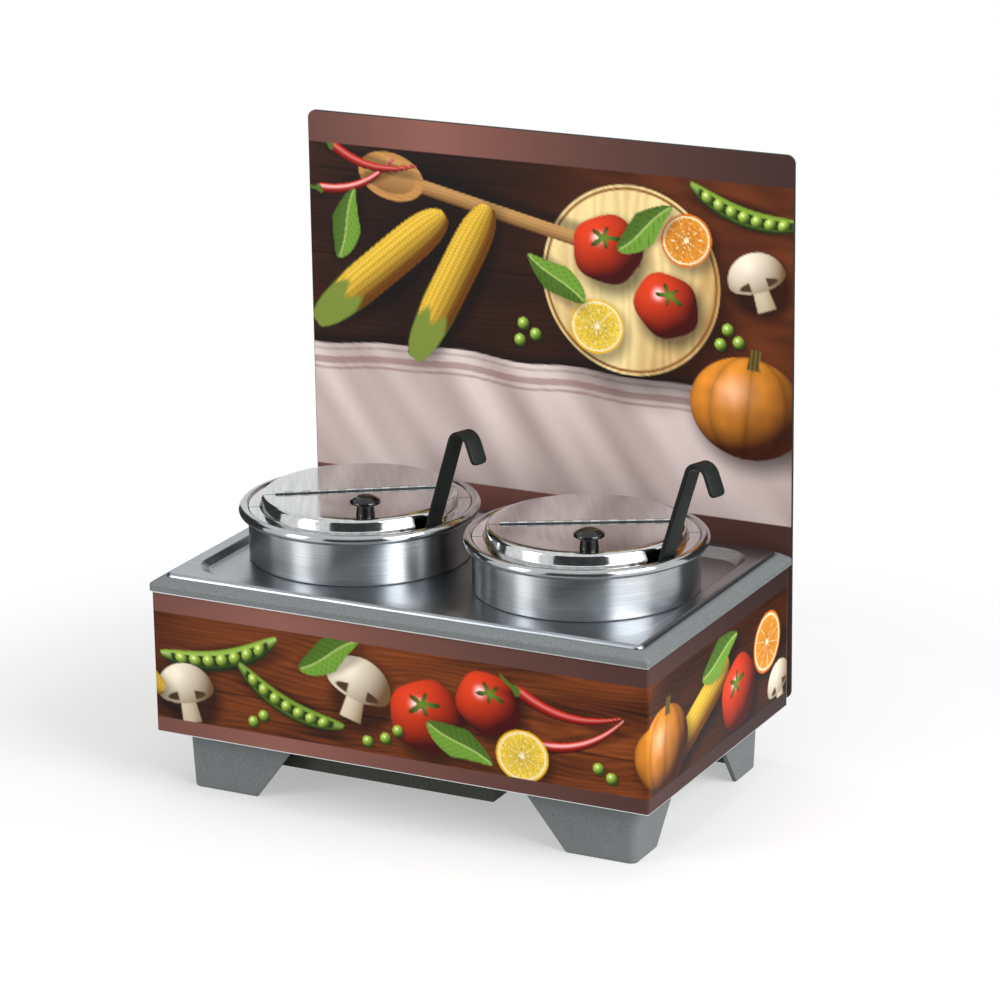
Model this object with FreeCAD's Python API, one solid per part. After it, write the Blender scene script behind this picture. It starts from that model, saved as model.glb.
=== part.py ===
import FreeCAD, Part
import math
import os
from FreeCAD import Vector

# Two-pot countertop soup kettle: moulded resin base, drop-in pots with hinged lids, ladles,
# printed wrap round the front and sides, and a printed board at the back.
# Millimetres. +X right, the front faces -Y, +Z up, origin on the counter under the plate's centre.

# Pots: drawn steel insets with a shoulder, a collar and a rolled bead
POT_SHEET = 0.8
POT_R = 106.5
POT_BELOW = 139.6
POT_BOTTOM_ROUND = 18.0
POT_GAP = 8.9
POT_FLOOR_GAP = 10.0
SHOULDER = 7.2
SHOULDER_ROUND = 2.0
COLLAR_HEIGHT = 49.9
BEAD_R = 5.2
BEAD_CURL = 290.0

# Adaptor plate: full-size plate with a sunk floor and two pot holes
PLATE_CORNER = 8.0
PLATE_EDGE = 6.2
PLATE_SHEET = 1.0
PLATE_ROUND = 4.0
PLATE_GAP = 0.7
BORDER_X = 15.0
BORDER_Y = 17.0
RECESS_DEPTH = 7.0
RECESS_SLOPE_X = 4.95
RECESS_SLOPE_Y = 16.0
RECESS_CLEAR_X = 2.1
RECESS_CLEAR_Y = 15.3
RECESS_CORNER = 30.0
RECESS_LIP_CORNER = 38.0
RECESS_ROUND = 2.4
HOLE_CLEAR = 1.5

# Housing: one moulded resin shell with a rim, drafted walls and four hollow legs
DRAFT = 0.036
HOUSING_WALL = 5.0
HOUSING_CORNER = 8.0
FOOT_INSET_X = 27.8
FOOT_INSET_Y = 27.0
FOOT_ROUND = 2.5
LEG_X = 74.0
LEG_Y = 48.0
ARCH_TOP = 58.0
ARCH_LEAN = 0.77
RIM_LAND_X = 13.0
RIM_LAND_Y = 10.5
RIM_FACE = 7.0
RIM_BEVEL_RISE = 6.2
RIM_BEVEL_RUN = 9.0
RIM_CORNER = 4.0
RIM_ROUND = 2.5
LEDGE_DEPTH = 3.4
BOSS_WIDTH = 14.0
BOSS_DEPTH = 14.0
BOSS_HEIGHT = 12.0
BOSS_FLOOR = 2.0
BOSS_AT_X = 150.0
BOSS_AT_Y = 60.0

# Water well: drawn steel pan hung on the ledge inside the rim
WELL_SHEET = 0.8
WELL_CLEAR = 0.5
WELL_TAPER = 6.0
WELL_CORNER = 24.0
WELL_BOTTOM_ROUND = 12.0

# Lids: pressed steel, cut across and joined by a piano hinge
LID_SHEET = 0.8
LID_RISE = 13.0
LID_FLANGE = 11.0
LID_SKIRT_RUN = 3.2
LID_EDGE_ROUND = 5.0
LID_FLANGE_ROUND = 1.5
LID_SEAT_ANGLE = 22.0
SEAT_GAP = 0.3
LEFT_LID_ANGLE = 33.0
RIGHT_LID_ANGLE = 28.0
LID_CUT = 0.6
HINGE_END = 13.3
HINGE_LIFT = 0.7
KNUCKLES = 19
KNUCKLE_R = 2.1
KNUCKLE_GAP = 0.3
HINGE_SLOT = 2.4
PIN_R = 1.0
PIN_CLEAR = 0.05
LEAF_WIDTH = 12.0
LEAF_SHEET = 0.8
NOTCH_WIDTH = 30.0
NOTCH_INSET = 8.0
NOTCH_BELOW_TOP = 4.5

# Lid knobs
KNOB_INSET = 16.8
KNOB_BASE_R = 9.7
KNOB_BASE_ROUND = 0.8
KNOB_NECK_R = 8.4
KNOB_NECK_ROUND = 3.0
KNOB_R = 15.5
KNOB_LIP_ROUND = 1.0
KNOB_RIM_ROUND = 3.0
KNOB_CROWN_R = 8.5
KNOB_CROWN_ROUND = 8.0
KNOB_NECK_HEIGHT = 11.0
KNOB_FLARE = 2.0
KNOB_RIM = 3.0
KNOB_DOME = 4.0
KNOB_SCREW_R = 2.0
KNOB_SCREW_HEAD_R = 4.0
KNOB_SCREW_GRIP = 10.0

# Ladles: steel bowl and strip with a moulded hook grip
LADLE_BEARING = -20.0
LADLE_LEAN = 20.5
GRIP_WIDTH = 19.0
GRIP_THICK = 5.0
GRIP_ROUND = 1.8
GRIP_TIP_ROUND = 6.0
GRIP_RUN = 104.0
GRIP_BELOW = 30.0
HOOK_R = 13.7
HOOK_TURN = 135.0
HOOK_END = 21.5
STRIP_WIDTH = 13.0
STRIP_THICK = 2.0
STRIP_TRIM = 5.0
BOWL_R = 39.0
BOWL_SHEET = 1.0
BOWL_GAP = 0.4
WELD_LENGTH = 12.0

# Printed wrap: one bent sheet round the front and sides
WRAP_INSET = 2.5
WRAP_REAR_INSET = 5.7
WRAP_ABOVE_ARCH = 6.5
WRAP_SHEET = 1.2
WRAP_BEND = 2.6
WRAP_FLANGE = 13.2
WRAP_RETURN = 20.0
WRAP_SCREW_INSET = 75.0

# Printed back board
BOARD_INSET = 1.5
BOARD_ABOVE_WRAP = 3.5
BOARD_TOP = 637.4
BOARD_THICK = 3.2
BOARD_CORNER = 9.0
BOARD_SCREW_INSET = 12.0
BOARD_SCREW_LOW = 39.5
BOARD_SCREW_HIGH = 125.5
STANDOFF_R = 6.0

# Heater below the well
ELEMENT_R = 3.2
ELEMENT_INSET_X = 36.7
ELEMENT_INSET_Y = 50.5
ELEMENT_BEND = 35.0
PIN_BEND = 12.0
PIN_NEAR_X = -30.0
PIN_FAR_X = -70.0
ELEMENT_PIN_Y = -20.0
PIN_DROP = 10.8
CONTACT_GAP = 0.1
CLAMP_SHEET = 1.2
CLAMP_WIDTH = 20.0
CLAMP_AT_X = 125.0
CLAMP_GAP = 0.4
BULB_R = 3.2
BULB_X = 40.0
BULB_Y = 30.0
BULB_LENGTH = 70.0
CAPILLARY_R = 1.0
CAPILLARY_X = -10.0
CAPILLARY_BEND = 8.0
CAPILLARY_ENTRY = 6.0
INSULATION_THICK = 6.0
INSULATION_INSET_X = 20.7
INSULATION_INSET_Y = 20.5
BLANKET_EASE = 4.0
COVER_EASE = 1.0
COVER_SHEET = 1.2
COVER_CLEAR = 0.8

# Control box below the cover, deeper at the operator's side
BOX_INSET_LEFT = 33.7
BOX_RIGHT = 82.0
BOX_INSET_FRONT = 25.5
BOX_INSET_REAR = 17.5
BOX_DROP = 30.4
BOX_DEEP_DROP = 42.8
BOX_STEP_TOP = 88.0
BOX_STEP_FOOT = 66.0
BOX_SHEET = 1.2
BOX_FLANGE = 12.0
BOX_SCREW_INSET = 30.0
CONTROL_DROP = 22.8

# Thermostat, pilot lamp, cord gland and terminal block
THERMOSTAT_X = -63.5
THERMOSTAT_WIDTH = 44.0
THERMOSTAT_DEPTH = 25.0
THERMOSTAT_HEIGHT = 33.0
THERMOSTAT_ROUND = 2.0
TAB_LENGTH = 8.0
TAB_WIDTH = 6.0
TAB_SHEET = 0.8
TAB_ROOT = 1.0
TAB_DROP = 12.0
TAB_INSET = 7.0
INNER_TAB_DROP = 6.0
NECK_R = 4.8
SPINDLE_R = 3.0
SPINDLE_CLEAR = 0.05
SPINDLE_OUT = 14.0
SPINDLE_END_GAP = 0.5
DIAL_R = 17.5
DIAL_SKIRT = 3.0
DIAL_DEPTH = 17.0
DIAL_GRIP_R = 12.5
DIAL_ROUND = 1.5
DIAL_GAP = 0.6
FLUTES = 12
FLUTE_R = 2.2
FLUTE_OUT = 1.2
POINTER_WIDTH = 1.6
POINTER_RISE = 0.8
PILOT_X = -18.0
PILOT_R = 5.0
PILOT_BEZEL_R = 7.0
PILOT_BEZEL = 2.0
PILOT_DEPTH = 14.0
GLAND_X = 58.0
GLAND_R = 7.5
GLAND_FLANGE_R = 10.0
GLAND_FLANGE = 5.0
GLAND_ROUND = 1.5
GLAND_NUT = 5.0
GLAND_DEPTH = 9.0
GLAND_BORE_R = 4.2
BLOCK_X = 8.0
BLOCK_BACK = 43.0
BLOCK_WIDTH = 50.0
BLOCK_DEPTH = 24.0
BLOCK_HEIGHT = 16.0
BLOCK_POLES = 3
POLE_WALL = 1.2
POLE_DEPTH = 5.0
POLE_REACH = 8.0
POLE_SCREW = 4.0
WIRE_R = 1.2
WIRE_BEND = 5.0
WIRE_TIGHT_BEND = 4.0
LAMP_BEND = 2.5
WIRE_RISE = 5.0
WIRE_RUN = 10.0
WIRE_LEAD = 12.0
LAMP_LEAD = 4.0
LAMP_TURN = 9.0

# Fasteners
SCREW_R = 1.75
SCREW_HEAD_R = 3.5
SCREW_HEAD = 2.4
SCREW_CROWN = 1.2
SCREW_TIP_GAP = 2.0
HOLE_EASE = 0.25

# Lengths that only make cutting tools and tests reach past a face
PAST = 1.0
NEAR = 0.01

# Plan: the pots set the plate, the plate the rim, and the rim the walls, the wrap and the board
COLLAR_R = POT_R + SHOULDER
BEAD_CENTRE_R = COLLAR_R - POT_SHEET + BEAD_R
POT_SPACING = 2 * (BEAD_CENTRE_R + BEAD_R) + POT_GAP
FLOOR_X = POT_SPACING / 2 + COLLAR_R + RECESS_CLEAR_X
FLOOR_Y = COLLAR_R + RECESS_CLEAR_Y
LIP_X = FLOOR_X + RECESS_SLOPE_X
LIP_Y = FLOOR_Y + RECESS_SLOPE_Y
PLATE_X = LIP_X + BORDER_X
PLATE_Y = LIP_Y + BORDER_Y
RIM_X = PLATE_X + RIM_LAND_X
RIM_Y = PLATE_Y + RIM_LAND_Y
FOOT_X = RIM_X - FOOT_INSET_X
FOOT_Y = RIM_Y - FOOT_INSET_Y
ARCH_FOOT_X = FOOT_X - LEG_X
ARCH_FOOT_Y = FOOT_Y - LEG_Y
WRAP_X = RIM_X - WRAP_INSET
WRAP_FRONT = RIM_Y - WRAP_INSET
WRAP_REAR = RIM_Y - WRAP_REAR_INSET
BOARD_X = RIM_X - BOARD_INSET
BOARD_FRONT = RIM_Y
BOARD_REAR = BOARD_FRONT + BOARD_THICK
ELEMENT_X = FOOT_X - ELEMENT_INSET_X
ELEMENT_Y = FOOT_Y - ELEMENT_INSET_Y
INSULATION_X = FOOT_X - INSULATION_INSET_X
INSULATION_Y = FOOT_Y - INSULATION_INSET_Y
BOX_LEFT = BOX_INSET_LEFT - FOOT_X
BOX_FRONT = BOX_INSET_FRONT - FOOT_Y
BOX_REAR = FOOT_Y - BOX_INSET_REAR
BLOCK_Y = BOX_REAR - BLOCK_BACK
LID_FLANGE_R = BEAD_CENTRE_R - (BEAD_R + SEAT_GAP) * math.cos(math.radians(LID_SEAT_ANGLE))
LID_FOOT_R = LID_FLANGE_R - LID_FLANGE
LID_TOP_R = LID_FOOT_R - LID_SKIRT_RUN
HINGE_LENGTH = 2 * (LID_TOP_R - HINGE_END)
KNOB_OUT = LID_TOP_R - KNOB_INSET
SIDES = {"left": -POT_SPACING / 2, "right": POT_SPACING / 2}
LID_TURN = {"left": LEFT_LID_ANGLE, "right": RIGHT_LID_ANGLE}

# Heights: up from the arches through the heater, the well and the pots to the rim and the lids
COVER_BOTTOM = ARCH_TOP + COVER_CLEAR
COVER_TOP = COVER_BOTTOM + COVER_SHEET
CLAMP_BOTTOM = COVER_TOP + INSULATION_THICK + CLAMP_GAP
ELEMENT_Z = CLAMP_BOTTOM + CLAMP_SHEET + CONTACT_GAP + ELEMENT_R
WELL_UNDER = ELEMENT_Z + ELEMENT_R + CONTACT_GAP
BULB_Z = WELL_UNDER - CONTACT_GAP - BULB_R
WELL_FLOOR = WELL_UNDER + WELL_SHEET
POT_BOTTOM = WELL_FLOOR + POT_FLOOR_GAP
FLOOR_TOP = POT_BOTTOM + POT_BELOW
PLATE_TOP = FLOOR_TOP + RECESS_DEPTH
FLANGE_TOP = PLATE_TOP - PLATE_EDGE
LEDGE_Z = FLANGE_TOP - WELL_SHEET
RIM_TOP = LEDGE_Z + LEDGE_DEPTH
RIM_BOTTOM = RIM_TOP - RIM_BEVEL_RISE - RIM_FACE
WRAP_BOTTOM = ARCH_TOP + WRAP_ABOVE_ARCH
BOARD_BOTTOM = WRAP_BOTTOM + BOARD_ABOVE_WRAP
BEAD_Z = FLOOR_TOP + COLLAR_HEIGHT
LID_UNDER = BEAD_Z + (BEAD_R + SEAT_GAP) * math.sin(math.radians(LID_SEAT_ANGLE))
LID_TOP = LID_UNDER + LID_RISE
HINGE_Z = LID_TOP + HINGE_LIFT
PIN_END = COVER_BOTTOM - PIN_DROP
BOX_BOTTOM = COVER_BOTTOM - BOX_DROP
BOX_DEEP = COVER_BOTTOM - BOX_DEEP_DROP
CONTROL_Z = COVER_BOTTOM - CONTROL_DROP
Z_AXIS = Vector(0, 0, 1)
ORIGIN = Vector(0, 0, 0)


def rounded_rectangle(half_x, half_y, radius, z):
    """Closed wire of a rectangle with round corners, level at height z."""
    x, y = half_x - radius, half_y - radius
    diagonal = radius * math.sqrt(0.5)
    edges = []
    for turn in range(4):
        sx = 1 if turn in (0, 3) else -1
        sy = 1 if turn in (0, 1) else -1
        ends = [Vector(sx * half_x, sy * y, z), Vector(sx * x, sy * half_y, z)]
        if turn % 2:
            ends.reverse()
        middle = Vector(sx * (x + diagonal), sy * (y + diagonal), z)
        edges.append(Part.Arc(ends[0], middle, ends[1]).toShape())
    corners = list(edges)
    for first, second in zip(corners, corners[1:] + corners[:1]):
        edges.append(Part.LineSegment(first.lastVertex().Point, second.firstVertex().Point).toShape())
    return Part.Wire(Part.__sortEdges__(edges))


def block(half_x, half_y, radius, low, high):
    """Upright prism on a rounded rectangle."""
    return Part.Face(rounded_rectangle(half_x, half_y, radius, low)).extrude(Vector(0, 0, high - low))


def frustum(bottom, top, low, high):
    """Straight-sided solid between two rounded rectangles, each (half x, half y, radius)."""
    wires = [rounded_rectangle(*bottom, low), rounded_rectangle(*top, high)]
    return Part.makeLoft(wires, True, True)


def box_between(low, high):
    """Box from its lowest to its highest corner."""
    size = [h - l for l, h in zip(low, high)]
    return Part.makeBox(size[0], size[1], size[2], Vector(*low))


def rod(radius, start, end):
    """Round bar between two points."""
    way = Vector(*end) - Vector(*start)
    return Part.makeCylinder(radius, way.Length, Vector(*start), way)


def ring(outer, inner, start, end):
    """Tube between two points."""
    return rod(outer, start, end).cut(rod(inner, start, end))


def rounded_path(points, radii):
    """Edges of a line through the points, with each inner corner an arc of its radius."""
    edges = []
    start = points[0]
    for before, corner, after, radius in zip(points, points[1:], points[2:], radii):
        if radius <= 0:
            edges.append(Part.LineSegment(start, corner).toShape())
            start = corner
            continue
        back = (before - corner).normalize()
        ahead = (after - corner).normalize()
        half = back.getAngle(ahead) / 2
        tangent = radius / math.tan(half)
        inward = (back + ahead).normalize()
        middle = corner + inward * (radius / math.sin(half) - radius)
        first, last = corner + back * tangent, corner + ahead * tangent
        if (first - start).Length > 1e-6:
            edges.append(Part.LineSegment(start, first).toShape())
        edges.append(Part.Arc(first, middle, last).toShape())
        start = last
    edges.append(Part.LineSegment(start, points[-1]).toShape())
    return edges


def tube_along(points, bend, radius):
    """Solid round wire or tube along straight runs joined by arcs."""
    places = [Vector(*point) for point in points]
    bends = bend if isinstance(bend, list) else [bend] * (len(places) - 2)
    path = Part.Wire(rounded_path(places, bends))
    circle = Part.Circle(places[0], places[1] - places[0], radius)
    return path.makePipeShell([Part.Wire(circle.toShape())], True, False)


def upright_section(points, radii):
    """Edges of a section drawn in the XZ plane from (r, z) points."""
    return rounded_path([Vector(r, 0, z) for r, z in points], radii)


def sheet_of_revolution(edges, thickness):
    """Turned sheet: the drawn line and its offset, spun about Z."""
    band = Part.Wire(edges).makeOffset2D(thickness, 0, True, True)
    return band.revolve(ORIGIN, Z_AXIS, 360)


def screw(place, direction, length, radius=SCREW_R):
    """Pan-head screw: the head stands behind the place, the shank runs along the direction."""
    way = Vector(*direction)
    start = Vector(*place)
    head = Part.makeCylinder(SCREW_HEAD_R, SCREW_HEAD, start - way * SCREW_HEAD, way)
    crown = [edge for edge in head.Edges if (edge.CenterOfMass - (start - way * SCREW_HEAD)).Length < NEAR]
    head = head.makeFillet(SCREW_CROWN, crown)
    return head.fuse(Part.makeCylinder(radius, length, start, way)).removeSplitter()


def grouped(solids):
    """Separate solids kept in one node."""
    return Part.makeCompound(solids)


def placed(shape, turn, x):
    """Copy turned about Z and moved along X to its pot."""
    moved = shape.copy()
    moved.rotate(ORIGIN, Z_AXIS, turn)
    moved.translate(Vector(x, 0, 0))
    return moved


def wall_half(z):
    """Half sizes of the housing's outer wall at a height."""
    return FOOT_X + DRAFT * z, FOOT_Y + DRAFT * z


def inner_half(z):
    """Half sizes of the housing's inner wall at a height."""
    x, y = wall_half(z)
    return x - HOUSING_WALL, y - HOUSING_WALL


def boss_places():
    """Centres of the cover's screw bosses, with the way from the wall into the housing."""
    x, y = inner_half(COVER_TOP)
    x, y = x - BOSS_DEPTH / 2, y - BOSS_DEPTH / 2
    ends = [(sx * BOSS_AT_X, sy * y) for sx in (-1, 1) for sy in (-1, 1)]
    return ends, [(sx * x, sy * BOSS_AT_Y) for sx in (-1, 1) for sy in (-1, 1)]


def wrap_screw_places():
    """Screws of the wrap's top flange, up into the rim."""
    front = WRAP_FRONT - WRAP_SHEET - WRAP_FLANGE / 2
    side = WRAP_X - WRAP_SHEET - WRAP_FLANGE / 2
    ends = side - WRAP_SCREW_INSET
    flank = front - WRAP_SCREW_INSET
    along = [(x, -front) for x in (-ends, 0.0, ends)]
    return along + [(sx * side, sy * flank) for sx in (-1, 1) for sy in (-1, 1)]


def make_housing():
    """Drafted shell with legs, a bevelled rim and a ledge for the well."""
    foot, top = (*wall_half(0), HOUSING_CORNER), (*wall_half(RIM_BOTTOM), HOUSING_CORNER)
    outer = frustum(foot, top, 0, RIM_BOTTOM)
    outer = outer.makeFillet(FOOT_ROUND, [e for e in outer.Edges if e.BoundBox.ZMax < NEAR])
    face_top = RIM_BOTTOM + RIM_FACE
    rim = block(RIM_X, RIM_Y, RIM_CORNER, RIM_BOTTOM, face_top)
    inset = (RIM_X - RIM_BEVEL_RUN, RIM_Y - RIM_BEVEL_RUN, RIM_CORNER)
    rim = rim.fuse(frustum((RIM_X, RIM_Y, RIM_CORNER), inset, face_top, RIM_TOP)).removeSplitter()
    level = [e for e in rim.Edges if abs(e.BoundBox.ZMin - e.BoundBox.ZMax) < NEAR]
    rim = rim.makeFillet(RIM_ROUND, [e for e in level if e.BoundBox.ZMin > RIM_BOTTOM + PAST])
    body = outer.fuse(rim)
    seat_corner = PLATE_CORNER + PLATE_GAP
    body = body.cut(block(PLATE_X + PLATE_GAP, PLATE_Y + PLATE_GAP, seat_corner, LEDGE_Z, RIM_TOP + PAST))
    corner = HOUSING_CORNER - HOUSING_WALL
    body = body.cut(frustum((*inner_half(0), corner), (*inner_half(LEDGE_Z), corner), 0, LEDGE_Z))
    lean = ARCH_LEAN * ARCH_TOP
    for half, along in ((ARCH_FOOT_X, Vector(0, 1, 0)), (ARCH_FOOT_Y, Vector(1, 0, 0))):
        across = along.cross(Z_AXIS)
        outline = [across * -half, across * -(half - lean), across * (half - lean), across * half]
        lift = [0, ARCH_TOP, ARCH_TOP, 0]
        points = [p + Z_AXIS * h - along * RIM_X for p, h in zip(outline, lift)]
        arch = Part.Face(Part.makePolygon(points + points[:1])).extrude(along * 2 * RIM_X)
        body = body.cut(arch)
    ends, sides = boss_places()
    reach = BOSS_DEPTH / 2 + HOUSING_WALL / 2
    boss_top = COVER_TOP + BOSS_HEIGHT
    for x, y in ends:
        low = min(y - BOSS_DEPTH / 2, y + math.copysign(reach, y))
        high = max(y + BOSS_DEPTH / 2, y + math.copysign(reach, y))
        left, right = x - BOSS_WIDTH / 2, x + BOSS_WIDTH / 2
        body = body.fuse(box_between((left, low, COVER_TOP), (right, high, boss_top)))
    for x, y in sides:
        low = min(x - BOSS_DEPTH / 2, x + math.copysign(reach, x))
        high = max(x + BOSS_DEPTH / 2, x + math.copysign(reach, x))
        front, rear = y - BOSS_WIDTH / 2, y + BOSS_WIDTH / 2
        body = body.fuse(box_between((low, front, COVER_TOP), (high, rear, boss_top)))
    for x, y in ends + sides:
        body = body.cut(rod(SCREW_R, (x, y, COVER_TOP), (x, y, boss_top - BOSS_FLOOR)))
    for x, y in wrap_screw_places():
        body = body.cut(rod(SCREW_R, (x, y, RIM_BOTTOM), (x, y, RIM_BOTTOM + RIM_FACE)))
    return body.removeSplitter()


def well_halves():
    """Outer half sizes of the well at the ledge and at its floor."""
    x, y = inner_half(LEDGE_Z)
    top = (x - WELL_CLEAR, y - WELL_CLEAR, WELL_CORNER)
    return top, (top[0] - WELL_TAPER, top[1] - WELL_TAPER, WELL_CORNER)


def make_well():
    """Drawn pan with a flange that lies on the ledge."""
    top, bottom = well_halves()
    outer = frustum(bottom, top, WELL_UNDER, LEDGE_Z)
    low = [e for e in outer.Edges if e.BoundBox.ZMax < WELL_UNDER + NEAR]
    outer = outer.makeFillet(WELL_BOTTOM_ROUND, low)
    thinner = [tuple(size - WELL_SHEET for size in half) for half in (bottom, top)]
    inner = frustum(thinner[0], thinner[1], WELL_FLOOR, FLANGE_TOP)
    low = [e for e in inner.Edges if e.BoundBox.ZMax < WELL_FLOOR + NEAR]
    inner = inner.makeFillet(WELL_BOTTOM_ROUND - WELL_SHEET, low)
    flange = block(PLATE_X, PLATE_Y, PLATE_CORNER, LEDGE_Z, FLANGE_TOP)
    return outer.fuse(flange).cut(inner).removeSplitter()


def make_plate():
    """Sheet plate: turned-down edge, flat border, sloped wall, sunk floor and two holes."""
    thin = (PLATE_X - PLATE_SHEET, PLATE_Y - PLATE_SHEET, PLATE_CORNER - PLATE_SHEET)
    shell = block(PLATE_X, PLATE_Y, PLATE_CORNER, FLANGE_TOP, PLATE_TOP)
    shell = shell.makeFillet(PLATE_ROUND, [e for e in shell.Edges if e.BoundBox.ZMin > PLATE_TOP - NEAR])
    inside = block(*thin, FLANGE_TOP, PLATE_TOP - PLATE_SHEET)
    top = [e for e in inside.Edges if e.BoundBox.ZMin > PLATE_TOP - PLATE_SHEET - NEAR]
    shell = shell.cut(inside.makeFillet(PLATE_ROUND - PLATE_SHEET, top))
    lip, floor = (LIP_X, LIP_Y, RECESS_LIP_CORNER), (FLOOR_X, FLOOR_Y, RECESS_CORNER)
    under = frustum(floor, lip, FLOOR_TOP - PLATE_SHEET, PLATE_TOP - PLATE_SHEET)
    sunk = frustum(floor, lip, FLOOR_TOP, PLATE_TOP)
    plate = shell.fuse(under).cut(sunk)
    creases = []
    for edge in plate.Edges:
        box = edge.BoundBox
        level = abs(box.ZMax - box.ZMin) < NEAR
        within = max(abs(box.XMin), abs(box.XMax)) < LIP_X + NEAR
        if level and within and min(abs(box.ZMin - PLATE_TOP), abs(box.ZMin - FLOOR_TOP)) < NEAR:
            creases.append(edge)
    plate = plate.makeFillet(RECESS_ROUND, creases)
    for x in SIDES.values():
        plate = plate.cut(rod(POT_R + HOLE_CLEAR, (x, 0, FLOOR_TOP - 2 * PLATE_SHEET), (x, 0, PLATE_TOP)))
    return plate


def make_pot():
    """Inset drawn from one disc: body, shoulder on the plate, collar and curled bead."""
    inner_r = COLLAR_R - POT_SHEET
    body_r = POT_R - POT_SHEET
    shoulder = FLOOR_TOP + POT_SHEET
    points = [(0, POT_BOTTOM + POT_SHEET), (body_r, POT_BOTTOM + POT_SHEET), (body_r, shoulder)]
    points += [(inner_r, shoulder), (inner_r, BEAD_Z)]
    rounds = [POT_BOTTOM_ROUND - POT_SHEET, SHOULDER_ROUND, SHOULDER_ROUND - POT_SHEET]
    edges = upright_section(points, rounds)
    curl = []
    for angle in (180.0, 180.0 - BEAD_CURL / 2, 180.0 - BEAD_CURL):
        way = math.radians(angle)
        curl.append(Vector(BEAD_CENTRE_R + BEAD_R * math.cos(way), 0, BEAD_Z + BEAD_R * math.sin(way)))
    edges.append(Part.Arc(*curl).toShape())
    return sheet_of_revolution(edges, -POT_SHEET)


def make_lid_disc():
    """Whole lid before it is cut across."""
    points = [(0, LID_TOP), (LID_TOP_R, LID_TOP), (LID_FOOT_R, LID_UNDER + LID_SHEET)]
    points.append((LID_FLANGE_R, LID_UNDER + LID_SHEET))
    return sheet_of_revolution(upright_section(points, [LID_EDGE_ROUND, LID_FLANGE_ROUND]), -LID_SHEET)


def half_space(front):
    """Large box on one side of the lid's cut, in front (-Y) or behind (+Y), less the hinge's slot."""
    reach = 2 * LID_FLANGE_R
    y = (-reach, -LID_CUT) if front else (LID_CUT, reach)
    space = box_between((-reach, y[0], LID_UNDER - reach), (reach, y[1], LID_TOP + reach))
    end = HINGE_LENGTH / 2 + KNUCKLE_GAP
    slot = box_between((-end, -HINGE_SLOT, LID_UNDER - reach), (end, HINGE_SLOT, LID_TOP + reach))
    return space.cut(slot)


def make_lid_rear(disc):
    """Fixed rear half of the lid."""
    return disc.common(half_space(False))


def make_flap(disc, notch_turn):
    """Hinged front half, with the ladle notch in its rim and the knob's screw hole."""
    flap = disc.common(half_space(True))
    notch = box_between(
        (LID_FOOT_R - NOTCH_INSET, -NOTCH_WIDTH / 2, LID_UNDER - LID_RISE),
        (2 * LID_FLANGE_R, NOTCH_WIDTH / 2, LID_TOP - NOTCH_BELOW_TOP),
    )
    notch.rotate(ORIGIN, Z_AXIS, notch_turn)
    hole = rod(KNOB_SCREW_R + HOLE_EASE, (0, -KNOB_OUT, LID_TOP - LID_RISE), (0, -KNOB_OUT, LID_TOP + PAST))
    return flap.cut(notch).cut(hole)


def make_hinge_leaf(front):
    """Leaf under the lid sheet, with every other knuckle curled round the pin."""
    side = -1 if front else 1
    top = LID_TOP - LID_SHEET
    half = HINGE_LENGTH / 2
    near, far = sorted((side * HINGE_SLOT, side * LEAF_WIDTH))
    leaf = box_between((-half, near, top - LEAF_SHEET), (half, far, top))
    pitch = HINGE_LENGTH / KNUCKLES
    bores = []
    for index in range(1 if front else 0, KNUCKLES, 2):
        low = -half + index * pitch + KNUCKLE_GAP / 2
        high = low + pitch - KNUCKLE_GAP
        near, far = sorted((0.0, side * HINGE_SLOT))
        finger = box_between((low, near, top - LEAF_SHEET), (high, far, top))
        leaf = leaf.fuse([finger, rod(KNUCKLE_R, (low, 0, HINGE_Z), (high, 0, HINGE_Z))])
        bores.append(rod(PIN_R + PIN_CLEAR, (low - PAST, 0, HINGE_Z), (high + PAST, 0, HINGE_Z)))
    return leaf.cut(bores).removeSplitter()


def make_hinge_pin():
    """Straight pin through all the knuckles."""
    half = HINGE_LENGTH / 2
    return rod(PIN_R, (-half, 0, HINGE_Z), (half, 0, HINGE_Z))


def make_lid_knob():
    """Mushroom knob with a flared base and a domed cap, bored for its screw."""
    lip = KNOB_NECK_HEIGHT + KNOB_FLARE
    top = lip + KNOB_RIM + KNOB_DOME
    points = [(0, 0), (KNOB_BASE_R, 0), (KNOB_NECK_R, KNOB_NECK_HEIGHT), (KNOB_R, lip)]
    points += [(KNOB_R, lip + KNOB_RIM), (KNOB_CROWN_R, top), (0, top)]
    rounds = [KNOB_BASE_ROUND, KNOB_NECK_ROUND, KNOB_LIP_ROUND, KNOB_RIM_ROUND, KNOB_CROWN_ROUND]
    edges = upright_section(points, rounds)
    edges.append(Part.LineSegment(Vector(0, 0, top), ORIGIN).toShape())
    knob = Part.Face(Part.Wire(edges)).revolve(ORIGIN, Z_AXIS, 360)
    knob.translate(Vector(0, -KNOB_OUT, LID_TOP))
    hole_top = LID_TOP + KNOB_SCREW_GRIP + PAST
    return knob.cut(rod(KNOB_SCREW_R, (0, -KNOB_OUT, LID_TOP - PAST), (0, -KNOB_OUT, hole_top)))


def make_knob_screw():
    """Screw up through the flap into the knob."""
    under = LID_TOP - LID_SHEET
    head = rod(KNOB_SCREW_HEAD_R, (0, -KNOB_OUT, under - SCREW_HEAD), (0, -KNOB_OUT, under))
    low = [e for e in head.Edges if e.BoundBox.ZMax < under - SCREW_HEAD + NEAR]
    head = head.makeFillet(SCREW_CROWN, low)
    return head.fuse(rod(KNOB_SCREW_R, (0, -KNOB_OUT, under), (0, -KNOB_OUT, LID_TOP + KNOB_SCREW_GRIP)))


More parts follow.
